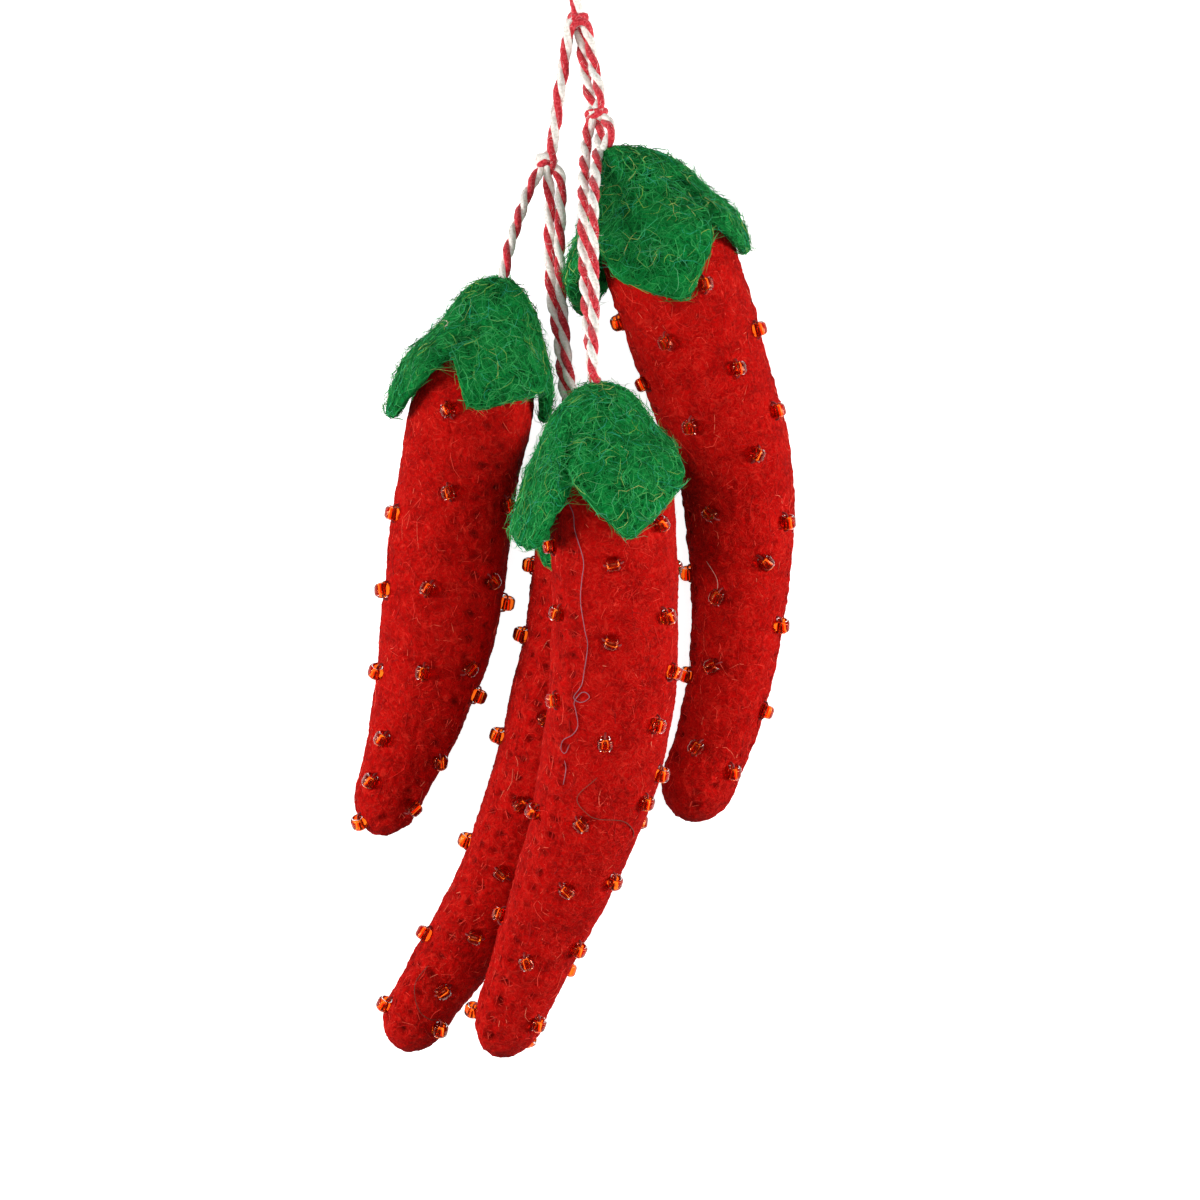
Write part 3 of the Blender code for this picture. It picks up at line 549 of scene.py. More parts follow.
class Chilli:   # where the skin and the cap of one chilli are
    def __init__(self, shape):
        self.shape = shape
        self.path, self.length = smoothPath(shape["spine"], 0.5)
        self.step = self.length / (len(self.path) - 1)
        self.meridian = self.capMeridian()

    def frame(self, distance):   # middle of the section, and the directions along, right and up there
        place = distance / self.step
        index = int(clamp(math.floor(place), 0, len(self.path) - 2))
        here = self.path[index].lerp(self.path[index + 1], place - index)
        low = max(index - 3, 0)
        high = min(index + 4, len(self.path) - 1)
        along = (self.path[high] - self.path[low]).normalized()
        right = Vector((0, 0, 1)).cross(along).normalized()
        return here, along, right, along.cross(right)

    def radius(self, distance):
        start, end = self.shape["taper"]
        taper = smoothStep((distance / self.length - start) / (end - start))
        width = self.shape["headWidth"] + (self.shape["tipWidth"] - self.shape["headWidth"]) * taper
        rounded = dome(distance / self.shape["headDome"])
        return 0.5 * width * rounded * dome((self.length - distance) / tipDome)

    def seamAngle(self, distance):
        start, end = self.shape["seam"]
        return math.radians(start + (end - start) * clamp(distance / self.length))

    def point(self, distance, angle, out=0.0):   # two felt halves meet in a low ridge at each side seam
        middle, _, right, up = self.frame(distance)
        ridge = abs(math.cos(angle - self.seamAngle(distance))) ** 8 * seamRidge
        radius = self.radius(distance)
        reach = radius + ridge * clamp(radius / 4.0) + out
        return middle + reach * (math.sin(angle) * right + math.cos(angle) * up)

    def capMeridian(self):   # along and out from the spine of the cap's middle layer, by length of felt
        offset = self.shape["capClearance"] + 0.5 * feltThickness + seamRidge
        profile = []
        for number in range(1, 60):
            distance = 0.012 * number ** 2
            slope = (self.radius(distance + 0.01) - self.radius(distance - 0.01 * (number > 1))) / 0.02
            slope = slope if number > 1 else 2.0 * slope
            steep = math.hypot(1.0, slope)
            profile.append((distance - offset * slope / steep, self.radius(distance) + offset / steep))
        meridian = [(0.0, -offset, 0.0)]
        for along, out in profile:
            felt, lastAlong, lastOut = meridian[-1]
            meridian.append((felt + math.hypot(along - lastAlong, out - lastOut), along, out))
        return meridian

    def capPlace(self, felt):
        for one, two in zip(self.meridian, self.meridian[1:]):
            if felt <= two[0]:
                share = (felt - one[0]) / (two[0] - one[0])
                return one[1] + (two[1] - one[1]) * share, one[2] + (two[2] - one[2]) * share
        return self.meridian[-1][1] + felt - self.meridian[-1][0], self.meridian[-1][2]

    def capPoint(self, felt, angle, offMiddle, lift):   # the leaves are flatter than the head under them
        along, out = self.capPlace(felt)
        turn = math.radians(min(abs(offMiddle), flattestTurn))
        flat = (1.0 / math.cos(turn) - 1.0) * self.shape["leafFlatness"]
        out *= 1.0 + flat * smoothStep((felt - 7.0) / 10.0)
        out += lift * clamp((felt - self.shape["liftStart"]) / 16.0) ** 2
        middle, _, right, up = self.frame(along)
        point = middle + out * (math.sin(angle) * right + math.cos(angle) * up)
        point += Vector(self.shape["capPeak"]) * clamp(1.0 - felt / peakReach) ** 2
        point.z = max(point.z, 0.5 * feltThickness)
        return point


forms = {name: Chilli(shape) for name, shape in chillies.items()}


# Glass seed beads, each sewn on lying on its side.
beads = {
    "diameter": 2.35, "beadLength": 1.85, "hole": 0.8, "edge": 0.5,   # the edge is the rounding of the rims
    "sunk": 0.65, "columns": 6, "rows": 10, "pitch": 12.2, "columnShift": 3.8, "jitter": 1.1,
    "turnJitter": 7.0, "roundTheBack": -0.5, "capEdge": 12.0, "tipEdge": 2.5,
    "around": 20, "packedDiameter": 2.2, "seenFrom": (4.1, 0.6, 2000.0), "lineUp": 0.75,
}


def shownPlace(form, seen):   # distance and angle of a shown bead, where the line of sight meets the skin
    eye = Vector(beads["seenFrom"])
    standOff = 0.5 * beads["packedDiameter"] - beads["sunk"]
    target = Vector((*seen, 0.0))
    near = min(range(len(form.path)), key=lambda index: (form.path[index].xy - target.xy).length)
    distance = near * form.step
    across = 0.0
    angle = 0.0
    for _ in range(12):
        _, along, right, _ = form.frame(distance)
        place = form.point(distance, angle, standOff)
        sight = eye.lerp(target, 1.0 - place.z / eye.z)
        off = Vector((sight.x - place.x, sight.y - place.y, 0.0))
        distance = clamp(distance + off.dot(along), 3.0, form.length - 1.5)
        across += off.dot(right)
        reach = form.radius(distance) + standOff
        across = clamp(across, -reach, reach)
        angle = math.asin(across / reach)
    return distance, angle


def beadPlaces(form):   # the shown ones, then rows on the hidden side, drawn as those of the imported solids
    draw = random.Random(form.shape["seed"])
    places = [(*shownPlace(form, seen), draw.uniform(0.0, math.pi)) for seen in form.shape["shownBeads"]]
    for column in range(beads["columns"]):
        first = form.shape["beadStart"] + beads["columnShift"] * (column % 2) - 2 * beads["pitch"]
        for row in range(beads["rows"]):
            distance = first + row * beads["pitch"] + draw.uniform(-beads["jitter"], beads["jitter"])
            turn = form.shape["beadTurn"] + column * 360.0 / beads["columns"]
            turn = math.radians(turn + draw.uniform(-beads["turnJitter"], beads["turnJitter"]))
            lie = draw.uniform(0.0, math.pi)
            if math.cos(turn) < beads["roundTheBack"]:
                if beads["capEdge"] < distance < form.length - beads["tipEdge"]:
                    places.append((distance, turn, lie))
    return places


def beadFrame(form, distance, angle, lie):   # middle of the bead, the way its hole runs, and outwards
    _, along, right, up = form.frame(distance)
    outward = math.sin(angle) * right + math.cos(angle) * up
    slope = (form.radius(distance + 0.3) - form.radius(distance - 0.3)) / 0.6
    outward = (outward - slope * along).normalized()
    place = form.point(distance, angle) + outward * (0.5 * beads["packedDiameter"] - beads["sunk"])
    side = outward.cross(along).normalized()
    lie += (0.5 * math.pi - lie) * beads["lineUp"] * abs(math.sin(angle))   # along the chilli at its sides
    hole = math.cos(lie) * side + math.sin(lie) * side.cross(outward)
    return place, hole, outward


def keptBeads():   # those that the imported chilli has: its surface reaches up to the top of the bead
    kept = {}
    for name, form in forms.items():
        solid = surfaceOf(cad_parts["chilli_" + name])
        kept[name] = []
        for distance, angle, lie in beadPlaces(form):
            place, hole, outward = beadFrame(form, distance, angle, lie)
            if solid.find_nearest(place + outward * 0.5 * beads["packedDiameter"])[3] < 0.5:
                kept[name].append((distance, angle, place, hole, outward))
    return kept


# The filling: coarse cages of the skins, held along their seams and at their beads, are blown up as cloth.
filling = {
    "rings": 44, "sides": 32, "scale": 10.0,   # the cloth is worked ten times as large as the chillies are
    "pressure": 4.0, "frames": 14, "typical": 0.26, "most": 0.42, "beadHold": 0.7, "headHeld": 6.0,
    "quality": 6, "mass": 0.2, "stiffness": 12.0, "bending": 0.4,
}


def bodyCage(form, beadList, verts, faces, held, places):
    rings, sides = filling["rings"], filling["sides"]
    first = len(verts)
    for ring in range(1, rings - 1):
        distance = form.length * ring / (rings - 1)
        for side in range(sides):
            angle = form.seamAngle(distance) + math.tau * side / sides
            verts.append(form.point(distance, angle))
            held.append(1.0 if side % (sides // 2) == 0 or distance < filling["headHeld"] else 0.0)
            places.append((distance, angle))
    for distance, angle, *_ in beadList:
        ring = round(distance / form.length * (rings - 1))
        side = round((angle - form.seamAngle(distance)) / math.tau * sides) % sides
        held[first + (min(ring, rings - 2) - 1) * sides + side] = filling["beadHold"]
    faces += ringFaces(rings - 2, sides, first)
    head = len(verts)
    verts += [form.frame(0.0)[0], form.frame(form.length)[0]]
    held += [1.0, 1.0]
    places += [(0.0, 0.0), (form.length, 0.0)]
    faces += poleFaces(head, head + 1, sides, first, head - sides)


def blowUp(beadsOn):   # how far each skin comes out, in millimetres, on the rings and sides of its cage
    rings, sides = filling["rings"], filling["sides"]
    puffed = {name: np.zeros((rings, sides)) for name in forms}
    verts, faces, held, places = [], [], [], []
    for name, form in forms.items():
        bodyCage(form, beadsOn[name], verts, faces, held, places)
    size = filling["scale"] * mm
    cage = pieceOf("cage", meshOf("cage", [v * size for v in verts], faces))
    group = cage.vertex_groups.new(name="held")
    for index, weight in enumerate(held):
        if weight > 0.0:
            group.add([index], weight, "REPLACE")
    cloth = cage.modifiers.new("filling", "CLOTH")
    cloth.settings.quality = filling["quality"]
    cloth.settings.mass = filling["mass"]
    cloth.settings.tension_stiffness = filling["stiffness"]
    cloth.settings.compression_stiffness = filling["stiffness"]
    cloth.settings.bending_stiffness = filling["bending"]
    cloth.settings.vertex_group_mass = "held"
    cloth.settings.use_pressure = True
    cloth.settings.uniform_pressure_force = filling["pressure"]
    cloth.settings.effector_weights.gravity = 0.0
    cloth.collision_settings.use_collision = False
    cloth.point_cache.frame_start = 1
    cloth.point_cache.frame_end = filling["frames"] + 1
    scene = bpy.context.scene
    for number in range(1, filling["frames"] + 1):
        scene.frame_set(number)
    shape = cage.evaluated_get(bpy.context.evaluated_depsgraph_get()).data
    moved = np.array([tuple(v.co) for v in shape.vertices]) / size
    start = np.array([tuple(v) for v in verts])
    outward = []
    for name, form in forms.items():
        for distance, angle in places[len(outward):len(outward) + (rings - 2) * sides + 2]:
            _, _, right, up = form.frame(distance)
            outward.append(tuple(math.sin(angle) * right + math.cos(angle) * up))
    out = ((moved - start) * np.array(outward)).sum(axis=1)
    typical = np.percentile(np.abs(out), 85)
    out = np.clip(out * filling["typical"] / max(typical, 1e-6), -filling["most"], filling["most"])
    for number, name in enumerate(forms):
        first = number * ((rings - 2) * sides + 2)
        puffed[name][1:-1] = out[first:first + (rings - 2) * sides].reshape(rings - 2, sides)
    print("filled: the cloth moved", round(float(typical), 3), "mm before it was scaled")
    bpy.data.objects.remove(cage)
    scene.frame_set(1)
    return puffed


def bSpline(share):   # weights of the four neighbours on a smooth curve
    return (np.array([(1 - share) ** 3, 3 * share ** 3 - 6 * share ** 2 + 4,
                      -3 * share ** 3 + 3 * share ** 2 + 3 * share + 1, share ** 3]) / 6.0)


def puffOn(grid, form, places, angles):   # the filling's swell at each point of the fine skin
    rings, sides = grid.shape
    swell = np.zeros((len(places), len(angles)))
    for number, distance in enumerate(places):
        at = clamp(distance / form.length) * (rings - 1)
        base = int(min(at, rings - 2))
        rows = [grid[min(max(base + k, 0), rings - 1)] for k in (-1, 0, 1, 2)]
        row = sum(weight * values for weight, values in zip(bSpline(at - base), rows))
        turn = ((angles - form.seamAngle(distance)) / math.tau * sides) % sides
        low = np.floor(turn).astype(int)
        weights = bSpline(turn - low)
        swell[number] = sum(weights[k] * row[(low + k - 1) % sides] for k in range(4))
    return swell


# Bodies: two halves of felt, whip-stitched along both sides and filled till they are firm.
body = {
    "ringStep": 0.36, "sides": 160, "hidden": (0.05, 0.3, 0.8, 1.6, 2.6, 3.8, 5.0, 6.0),   # under the cap
    "tipRings": 22, "lumpSize": 7.0, "lump": 0.25, "napSize": 1.0, "nap": 0.19,
    "groove": 0.14, "grooveWidth": 0.25, "crest": 0.25,   # of the seam, drawn in where the two edges meet
    "beadDent": 0.3, "beadDentWidth": 1.5, "beadShade": 0.5, "beadShadeWidth": 0.75,
    "underCap": 2.3, "underCapMiddle": 5.0, "underCapWidth": 2.8,   # makes room for the cap's creases
    "bareFrom": 9.0, "fill": 0.8,
}
# Whip stitches pull the felt in on both sides of a seam. Tip and needle pits are scattered. Each pit is also
# painted dark, as painted shade in the hole.
stitches = {
    "first": 9.0, "spacing": 2.9, "spacingJitter": 0.45, "off": 1.35, "offJitter": 0.25, "tipEdge": 2.5,
    "tipPits": 9, "needlePits": 14,
    "depth": 0.6, "along": 0.36, "across": 0.6, "pull": 0.12, "pullWidth": 0.9, "shade": 0.8,
}


def ringPlaces(form):
    places = list(body["hidden"])
    start = places[-1]
    straight = form.length - tipDome - start
    count = round(straight / body["ringStep"])
    places += [start + straight * (number + 1) / count for number in range(count)]
    for number in range(1, body["tipRings"]):
        places.append(form.length - tipDome * (1.0 - math.sin(0.5 * math.pi * number / body["tipRings"])))
    return places


def stitchPits(form):   # (distance, angle, depth share) of each needle hole that the thread pulls in
    draw = random.Random(form.shape["seed"] + 100)
    length = form.length
    pits = []
    for seam in (0.0, math.pi):
        for side in (-1, 1):
            distance = stitches["first"] + draw.uniform(0.0, 1.5)
            while distance < length - stitches["tipEdge"]:
                off = side * (stitches["off"] + draw.uniform(-stitches["offJitter"], stitches["offJitter"]))
                angle = form.seamAngle(distance) + seam + off / max(form.radius(distance), 2.0)
                pits.append((distance, angle, draw.uniform(0.6, 1.0)))
                distance += stitches["spacing"]
                distance += draw.uniform(-stitches["spacingJitter"], stitches["spacingJitter"])
    for _ in range(stitches["tipPits"]):
        distance = length - draw.uniform(2.0, 13.0)
        pits.append((distance, draw.uniform(0.0, math.tau), draw.uniform(0.35, 0.8)))
    for _ in range(stitches["needlePits"]):   # shallow ones where the needle that made the felt went in
        distance = draw.uniform(10.0, length - 3.0)
        pits.append((distance, draw.uniform(0.0, math.tau), draw.uniform(0.12, 0.4)))
    return pits


def feltBody(name, form, beadList, grid):
    places = ringPlaces(form)
    sides = body["sides"]
    angles = np.arange(sides) * math.tau / sides
    paintedShade = np.zeros((len(places), sides))
    out = puffOn(grid, form, places, angles)
    radii = np.array([form.radius(d) for d in places])
    ownLumps = Vector((form.shape["seed"], 0, 0))

    def spread(distance, angle, along, across):   # a round hump of height one at a place on the skin
        rings = np.abs(np.array(places) - distance) / along
        turn = (angles - angle + math.pi) % math.tau - math.pi
        off = turn[None, :] * radii[:, None] / across
        return np.exp(-rings[:, None] ** 2 - off ** 2)

    # Each pit is dented in and also painted darker: painted shade in the hole.
    for distance, angle, depth in stitchPits(form):
        hole = spread(distance, angle, stitches["along"], stitches["across"])
        paintedShade = np.maximum(paintedShade, depth * hole)
        out -= depth * stitches["depth"] * hole
        pulled = spread(distance, angle, stitches["pullWidth"], stitches["pullWidth"])
        out -= stitches["pull"] * depth * pulled
    for distance, angle, *_ in beadList:
        out -= body["beadDent"] * spread(distance, angle, body["beadDentWidth"], body["beadDentWidth"])
        # Painted shadow: the felt is painted darker under and round each bead.
        shade = spread(distance, angle, body["beadShadeWidth"], body["beadShadeWidth"])
        paintedShade = np.maximum(paintedShade, body["beadShade"] * shade)
    verts = []
    for ring, distance in enumerate(places):
        middle, along, right, up = form.frame(distance)
        slope = (form.radius(distance + 0.02) - form.radius(distance - 0.02)) / 0.04
        steep = math.hypot(1.0, slope)
        seam = form.seamAngle(distance)
        radius = form.radius(distance)
        toCap = (distance - body["underCapMiddle"]) / body["underCapWidth"]
        for side, angle in enumerate(angles.tolist()):
            toSeam = abs(math.cos(angle - seam))
            ridge = (toSeam ** 8 * seamRidge + toSeam ** 30 * body["crest"]) * clamp(radius / 4.0)
            outward = math.sin(angle) * right + math.cos(angle) * up
            point = middle + (radius + ridge) * outward
            seamOff = abs((angle - seam + 0.5 * math.pi) % math.pi - 0.5 * math.pi)
            groove = math.exp(-(seamOff * radius / body["grooveWidth"]) ** 2) * body["groove"]
            amount = float(out[ring, side]) - groove
            amount += body["lump"] * noise.noise(point / body["lumpSize"] + ownLumps)
            amount += body["nap"] * noise.noise(point / body["napSize"])
            amount += 0.6 * body["nap"] * noise.noise(point / (0.45 * body["napSize"]))
            amount -= body["underCap"] * math.exp(-toCap ** 2)
            point = point + (outward - slope * along) * (amount * clamp(radius) / steep)
            point.z = max(point.z, 0.02)
            verts.append(placed(point))
    head = len(verts)
    verts += [placed(form.frame(0.0)[0]), placed(form.frame(form.length)[0])]
    faces = ringFaces(len(places), sides) + poleFaces(head, head + 1, sides, 0, head - sides)
    # How dark the painted shade is at each point, kept on the mesh for the felt material.
    shade = np.clip(stitches["shade"] * paintedShade, 0.0, 1.0).ravel()
    bare = np.repeat(np.clip((np.array(places) - body["bareFrom"]) / 2.0, 0.0, 1.0), sides)
    mesh = meshOf("felt_" + name, verts, faces, [("paintedShade", np.append(shade, [0.0, 0.0])),
                                                 ("bare", np.append(bare, [0.0, 1.0]))])
    piece = pieceOf("felt_" + name, mesh, [redFeltMaterial])
    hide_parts("chilli_" + name)
    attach(piece, "root")
    return piece


# Caps: one cut piece of felt each, with four pointed leaves folded down over the chilli's head.
cap = {
    "edgeStep": 0.42, "rings": 46, "edgeRound": 0.7, "ragged": 0.22, "cornerCut": 0.14, "notchJump": 90.0,
    "lumpSize": 6.0, "lump": 0.3, "napSize": 0.9, "nap": 0.14, "flat": (0.052, 0.050),
    "crease": 0.75, "creaseWidth": 1.5,   # between two leaves, from the notch up
    "shoulders": {"left": (1.5, 0.7), "right": (0.6, 1.7), "back": (0.0, 0.6), "front": (0.1, 1.8)},
    "shoulderFelt": 10.5, "shoulderWidth": 4.5,   # where the leaves pull it straight, on its left and right
}


def capOutline(leaves):   # the cut edge: angle, turn from its leaf's middle, length of felt, lift
    outline = []
    for left, tip, right, leftFelt, tipFelt, rightFelt, lift in leaves:
        middle = 0.5 * (left + right)
        edge = [(left, leafNotch), (left + cornerTurn, leftFelt), (tip, tipFelt),
                (right - cornerTurn, rightFelt), (right, leafNotch)]
        if outline and math.isclose(outline[-1][0], left):
            edge = edge[1:]
        outline += [(turn, turn - middle, felt, lift) for turn, felt in edge]
    if math.isclose(outline[-1][0] - 360.0, outline[0][0]):
        outline = outline[:-1]
    return outline


def nextCorner(outline, number):   # the corner after this one, the first again past the last
    two = outline[(number + 1) % len(outline)]
    return (two[0] + 360.0, *two[1:]) if number == len(outline) - 1 else two


def between(one, two, share):
    return tuple(a + (b - a) * share for a, b in zip(one, two))


def roundedOutline(form):   # corners cut twice, then points a small step apart
    outline = capOutline(form.shape["leaves"])
    for _ in range(2):
        cut = []
        for number, one in enumerate(outline):
            two = nextCorner(outline, number)
            if abs(two[1] - one[1]) > cap["notchJump"]:   # over a notch the turn from the leaf changes sides
                cut += [one, two]
            else:
                cut += [between(one, two, cap["cornerCut"]), between(two, one, cap["cornerCut"])]
        outline = cut
    fine = []
    for number, one in enumerate(outline):
        two = nextCorner(outline, number)
        ends = [form.capPoint(felt, math.radians(angle), off, lift) for angle, off, felt, lift in (one, two)]
        steps = max(1, round((ends[1] - ends[0]).length / cap["edgeStep"]))
        if abs(two[1] - one[1]) > cap["notchJump"]:
            one, two = [(angle, abs(off), felt, lift) for angle, off, felt, lift in (one, two)]
        fine += [between(one, two, step / steps) for step in range(steps)]
    return fine


def feltShare(ring):   # how far out from the cap's middle a ring is
    return ((ring + 1) / cap["rings"]) ** 0.9


def capMiddle(form, outline):   # the middle layer of the felt: its points and their directions outwards
    rings = cap["rings"]
    seed = form.shape["seed"]
    middle = np.zeros((rings, len(outline), 3))
    for column, (angle, off, felt, lift) in enumerate(outline):
        edge = form.capPoint(felt, math.radians(angle), off, lift)
        felt += cap["ragged"] * noise.noise(edge / 0.9 + Vector((seed, 5.0, 0.0)))
        felt += cap["ragged"] * noise.noise(edge / 2.6 + Vector((seed, 9.0, 0.0)))
        for ring in range(rings):
            middle[ring, column] = form.capPoint(felt * feltShare(ring), math.radians(angle), off, lift)
    around = np.roll(middle, -1, axis=1)
    normal = np.cross(around - np.roll(middle, 1, axis=1), np.gradient(middle, axis=0))
    normal /= np.linalg.norm(normal, axis=2, keepdims=True) + 1e-12
    headward = np.array(form.capPoint(0.0, 0.0, 0.0, 0.0)) - np.array(form.frame(12.0)[0])
    if (normal[0] @ headward).mean() < 0.0:
        normal = -normal
    return middle, normal


def capArea(middle):
    area = 0.0
    around = np.roll(middle, -1, axis=1)
    for corner, one, two in ((middle[:-1], middle[1:], around[:-1]), (around[:-1], middle[1:], around[1:])):
        area += 0.5 * np.linalg.norm(np.cross(one - corner, two - corner), axis=2).sum()
    return area


def fromEdge(middle):   # how far each point is from the cut edge
    rim = middle[-1]
    parts = np.array_split(middle.reshape(-1, 3), 24)
    nearest = [np.sqrt(((part[:, None, :] - rim[None]) ** 2).sum(axis=2)).min(axis=1) for part in parts]
    return np.concatenate(nearest).reshape(middle.shape[:2])


def feltCap(name, form):
    outline = roundedOutline(form)
    rings, columns = cap["rings"], len(outline)
    seed = form.shape["seed"]
    middle, normal = capMiddle(form, outline)
    toRim = fromEdge(middle)
    half = 0.5 * feltThickness * np.sqrt(1.0 - (1.0 - np.clip(toRim / cap["edgeRound"], 0.0, 1.0)) ** 2)
    verts = []
    bare = []
    notches = [turn for leaf in form.shape["leaves"] for turn in (leaf[0], leaf[2])]
    onLeft, onRight = cap["shoulders"][name]
    for layer in (1.0, -1.0):
        for ring in range(rings if layer > 0 else rings - 1):
            for column, (angle, _, felt, _) in enumerate(outline):
                point = Vector(middle[ring, column])
                lump = cap["lump"] * noise.noise(point / cap["lumpSize"] + Vector((seed, 0.0, 0.0)))
                lump *= clamp(toRim[ring, column] / 3.0) * clamp(ring / 6.0)
                nap = cap["nap"] * noise.noise(point / cap["napSize"] + Vector((0.0, seed, 3.0 * layer)))
                fine = noise.noise(point / (0.4 * cap["napSize"]) + Vector((0.0, 0.0, layer)))
                nap += 0.6 * cap["nap"] * fine
                nap *= clamp(half[ring, column] / 0.5)
                felt *= feltShare(ring)
                toNotch = math.radians(min(abs((angle - turn + 180.0) % 360.0 - 180.0) for turn in notches))
                toNotch *= form.capPlace(felt)[1]
                drawnIn = cap["crease"] * math.exp(-(toNotch / cap["creaseWidth"]) ** 2)
                drawnIn += 0.5 * (onLeft + onRight + (onRight - onLeft) * math.sin(math.radians(angle)))
                drawnIn *= math.exp(-((felt - cap["shoulderFelt"]) / cap["shoulderWidth"]) ** 2)
                reach = layer * (half[ring, column] + nap) + max(lump, 0.0) - drawnIn
                point += Vector(normal[ring, column] * reach)
                point.z = max(point.z, 0.02)
                verts.append(placed(point))
                bare.append(1.0 if layer > 0 else 0.25 * clamp(1.0 - toRim[ring, column] / 3.0))
    faces = []
    under = rings * columns
    for ring in range(rings - 1):
        for column in range(columns):
            after = (column + 1) % columns
            low, high = ring * columns, (ring + 1) * columns
            faces.append((low + column, high + column, high + after, low + after))
            top = high if ring == rings - 2 else under + high
            faces.append((under + low + column, under + low + after, top + after, top + column))
    centre = form.capPoint(0.0, 0.0, 0.0, 0.0)
    up = Vector(normal[0].mean(axis=0)).normalized() * 0.5 * feltThickness
    pole = len(verts)
    verts += [placed(centre + up), placed(centre - up)]
    bare += [1.0, 0.0]
    for column in range(columns):
        after = (column + 1) % columns
        faces.append((pole, column, after))
        faces.append((pole + 1, under + after, under + column))
    piece = pieceOf("cap_" + name, meshOf("cap_" + name, verts, faces, [("bare", bare)]), [greenFeltMaterial])
    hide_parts("calyx_" + name)
    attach(piece, "root")
    return piece, capArea(middle) * mm * mm


beadsOn = keptBeads()
print("beads:", {name: len(places) for name, places in beadsOn.items()})
puffed = blowUp(beadsOn)
feltBodies = {name: feltBody(name, form, beadsOn[name], puffed[name]) for name, form in forms.items()}
print("bodies made:", {name: len(piece.data.polygons) for name, piece in feltBodies.items()})
feltCaps = {}
capAreas = {}
for name, form in forms.items():
    feltCaps[name], capAreas[name] = feltCap(name, form)
    print("cap", name, "area in square mm", round(capAreas[name] * 1e6))

# Cords: each is one run of twine with its knots.
knotPieces = {}
for name, knot in knots.items():
    knotPieces[name] = twistedTwine(name.replace("knot", "tied"), knotTurns(knot), [redCotton, whiteCotton],
                                    twine["knotLay"])
    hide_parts(name)
    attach(knotPieces[name], "root")
cordNodes = {
    "cord_loop": ["twine_left", "twine_top_left_a", "twine_hanger", "twine_top_right_a", "twine_right"],
    "cord_back_to_front": ["twine_back_a", "twine_top_left_b", "twine_top_right_b", "twine_front_a"],
    "cord_back": ["twine_back_b"], "cord_front": ["twine_front_b"],
}
cords = {}
for name, run in cordRuns.items():
    path, length = smoothPath(routePoints(run["route"]), twine["step"])
    cord = twistedTwine(name, [(path, run["turn"])], [redCotton, whiteCotton], twine["lay"])
    cords[name] = cord
    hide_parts(*cordNodes[name])
    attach(cord, "root")
    print(name, "length", round(length, 1))


def newTree(name, inputs):   # a Geometry Nodes tree with its first geometry socket and named inputs
    tree = bpy.data.node_groups.new(name, "GeometryNodeTree")
    tree.interface.new_socket("Geometry", in_out="INPUT", socket_type="NodeSocketGeometry")
    for label, kind in inputs.items():
        tree.interface.new_socket(label, in_out="INPUT", socket_type="NodeSocket" + kind)
    tree.interface.new_socket("Geometry", in_out="OUTPUT", socket_type="NodeSocketGeometry")
    return tree, tree.nodes.new("NodeGroupInput").outputs, tree.nodes.new("NodeGroupOutput").inputs


def grown(source, tree, values, name, material):   # what the tree makes on the source, as a mesh of its own
    modifier = source.modifiers.new(tree.name, "NODES")
    modifier.node_group = tree
    for item in tree.interface.items_tree:
        if item.in_out == "INPUT" and item.name in values:
            modifier[item.identifier] = values[item.name]
    evaluated = source.evaluated_get(bpy.context.evaluated_depsgraph_get())
    mesh = bpy.data.meshes.new_from_object(evaluated)
    source.modifiers.remove(modifier)
    mesh.name = name
    mesh.materials.clear()
    return pieceOf(name, mesh, [material])


def beadTree():   # a rounded ring at each point, turned as its "turn" attribute says
    tree, given, result = newTree("seedBeads", {"Across": "Float", "Long": "Float", "Hole": "Float",
                                                "Edge": "Float", "Around": "Int", "Material": "Material"})
    across = (given["Across"], given["Hole"])
    wall = addNode(tree, "ShaderNodeMath", across, operation="SUBTRACT")
    wall = addNode(tree, "ShaderNodeMath", (wall, 0.5), operation="MULTIPLY")
    reach = addNode(tree, "ShaderNodeMath", across, operation="ADD")
    reach = addNode(tree, "ShaderNodeMath", (reach, 0.25), operation="MULTIPLY")
    ring = addNode(tree, "GeometryNodeCurvePrimitiveCircle", {0: given["Around"], 4: reach})
    section = addNode(tree, "GeometryNodeCurvePrimitiveQuadrilateral", (wall, given["Long"]))
    soft = addNode(tree, "GeometryNodeFilletCurve", {"Curve": section, "Radius": given["Edge"], "Count": 4},
                   mode="POLY")
    bead = addNode(tree, "GeometryNodeCurveToMesh", (ring, soft))
    smooth = addNode(tree, "GeometryNodeSetShadeSmooth", (bead,))
    turn = addNode(tree, "GeometryNodeInputNamedAttribute", {"Name": "turn"}, data_type="FLOAT_VECTOR")
    euler = addNode(tree, "FunctionNodeEulerToRotation", (turn,))
    placedBeads = addNode(tree, "GeometryNodeInstanceOnPoints", {"Points": given["Geometry"],
                                                                 "Instance": smooth, "Rotation": euler})
    real = addNode(tree, "GeometryNodeRealizeInstances", (placedBeads,))
    glassy = addNode(tree, "GeometryNodeSetMaterial", {"Geometry": real, "Material": given["Material"]})
    tree.links.new(glassy.outputs[0], result[0])
    return tree


beadsTree = beadTree()
for name, places in beadsOn.items():
    points = meshOf("beadPoints", [placed(place) for _, _, place, _, _ in places], [])
    turns = points.attributes.new("turn", "FLOAT_VECTOR", "POINT")
    for number, (_, _, _, hole, outward) in enumerate(places):
        turn = Matrix((outward, hole.cross(outward), hole)).transposed().to_euler()
        turns.data[number].vector = turn
    source = pieceOf("beadPoints", points)
    piece = grown(source, beadsTree, {"Across": beads["diameter"] * mm, "Long": beads["beadLength"] * mm,
                                      "Hole": beads["hole"] * mm, "Edge": beads["edge"] * mm,
                                      "Around": beads["around"], "Material": glass}, "beads_" + name, glass)
    bpy.data.objects.remove(source)
    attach(piece, "root")
print("beads made")

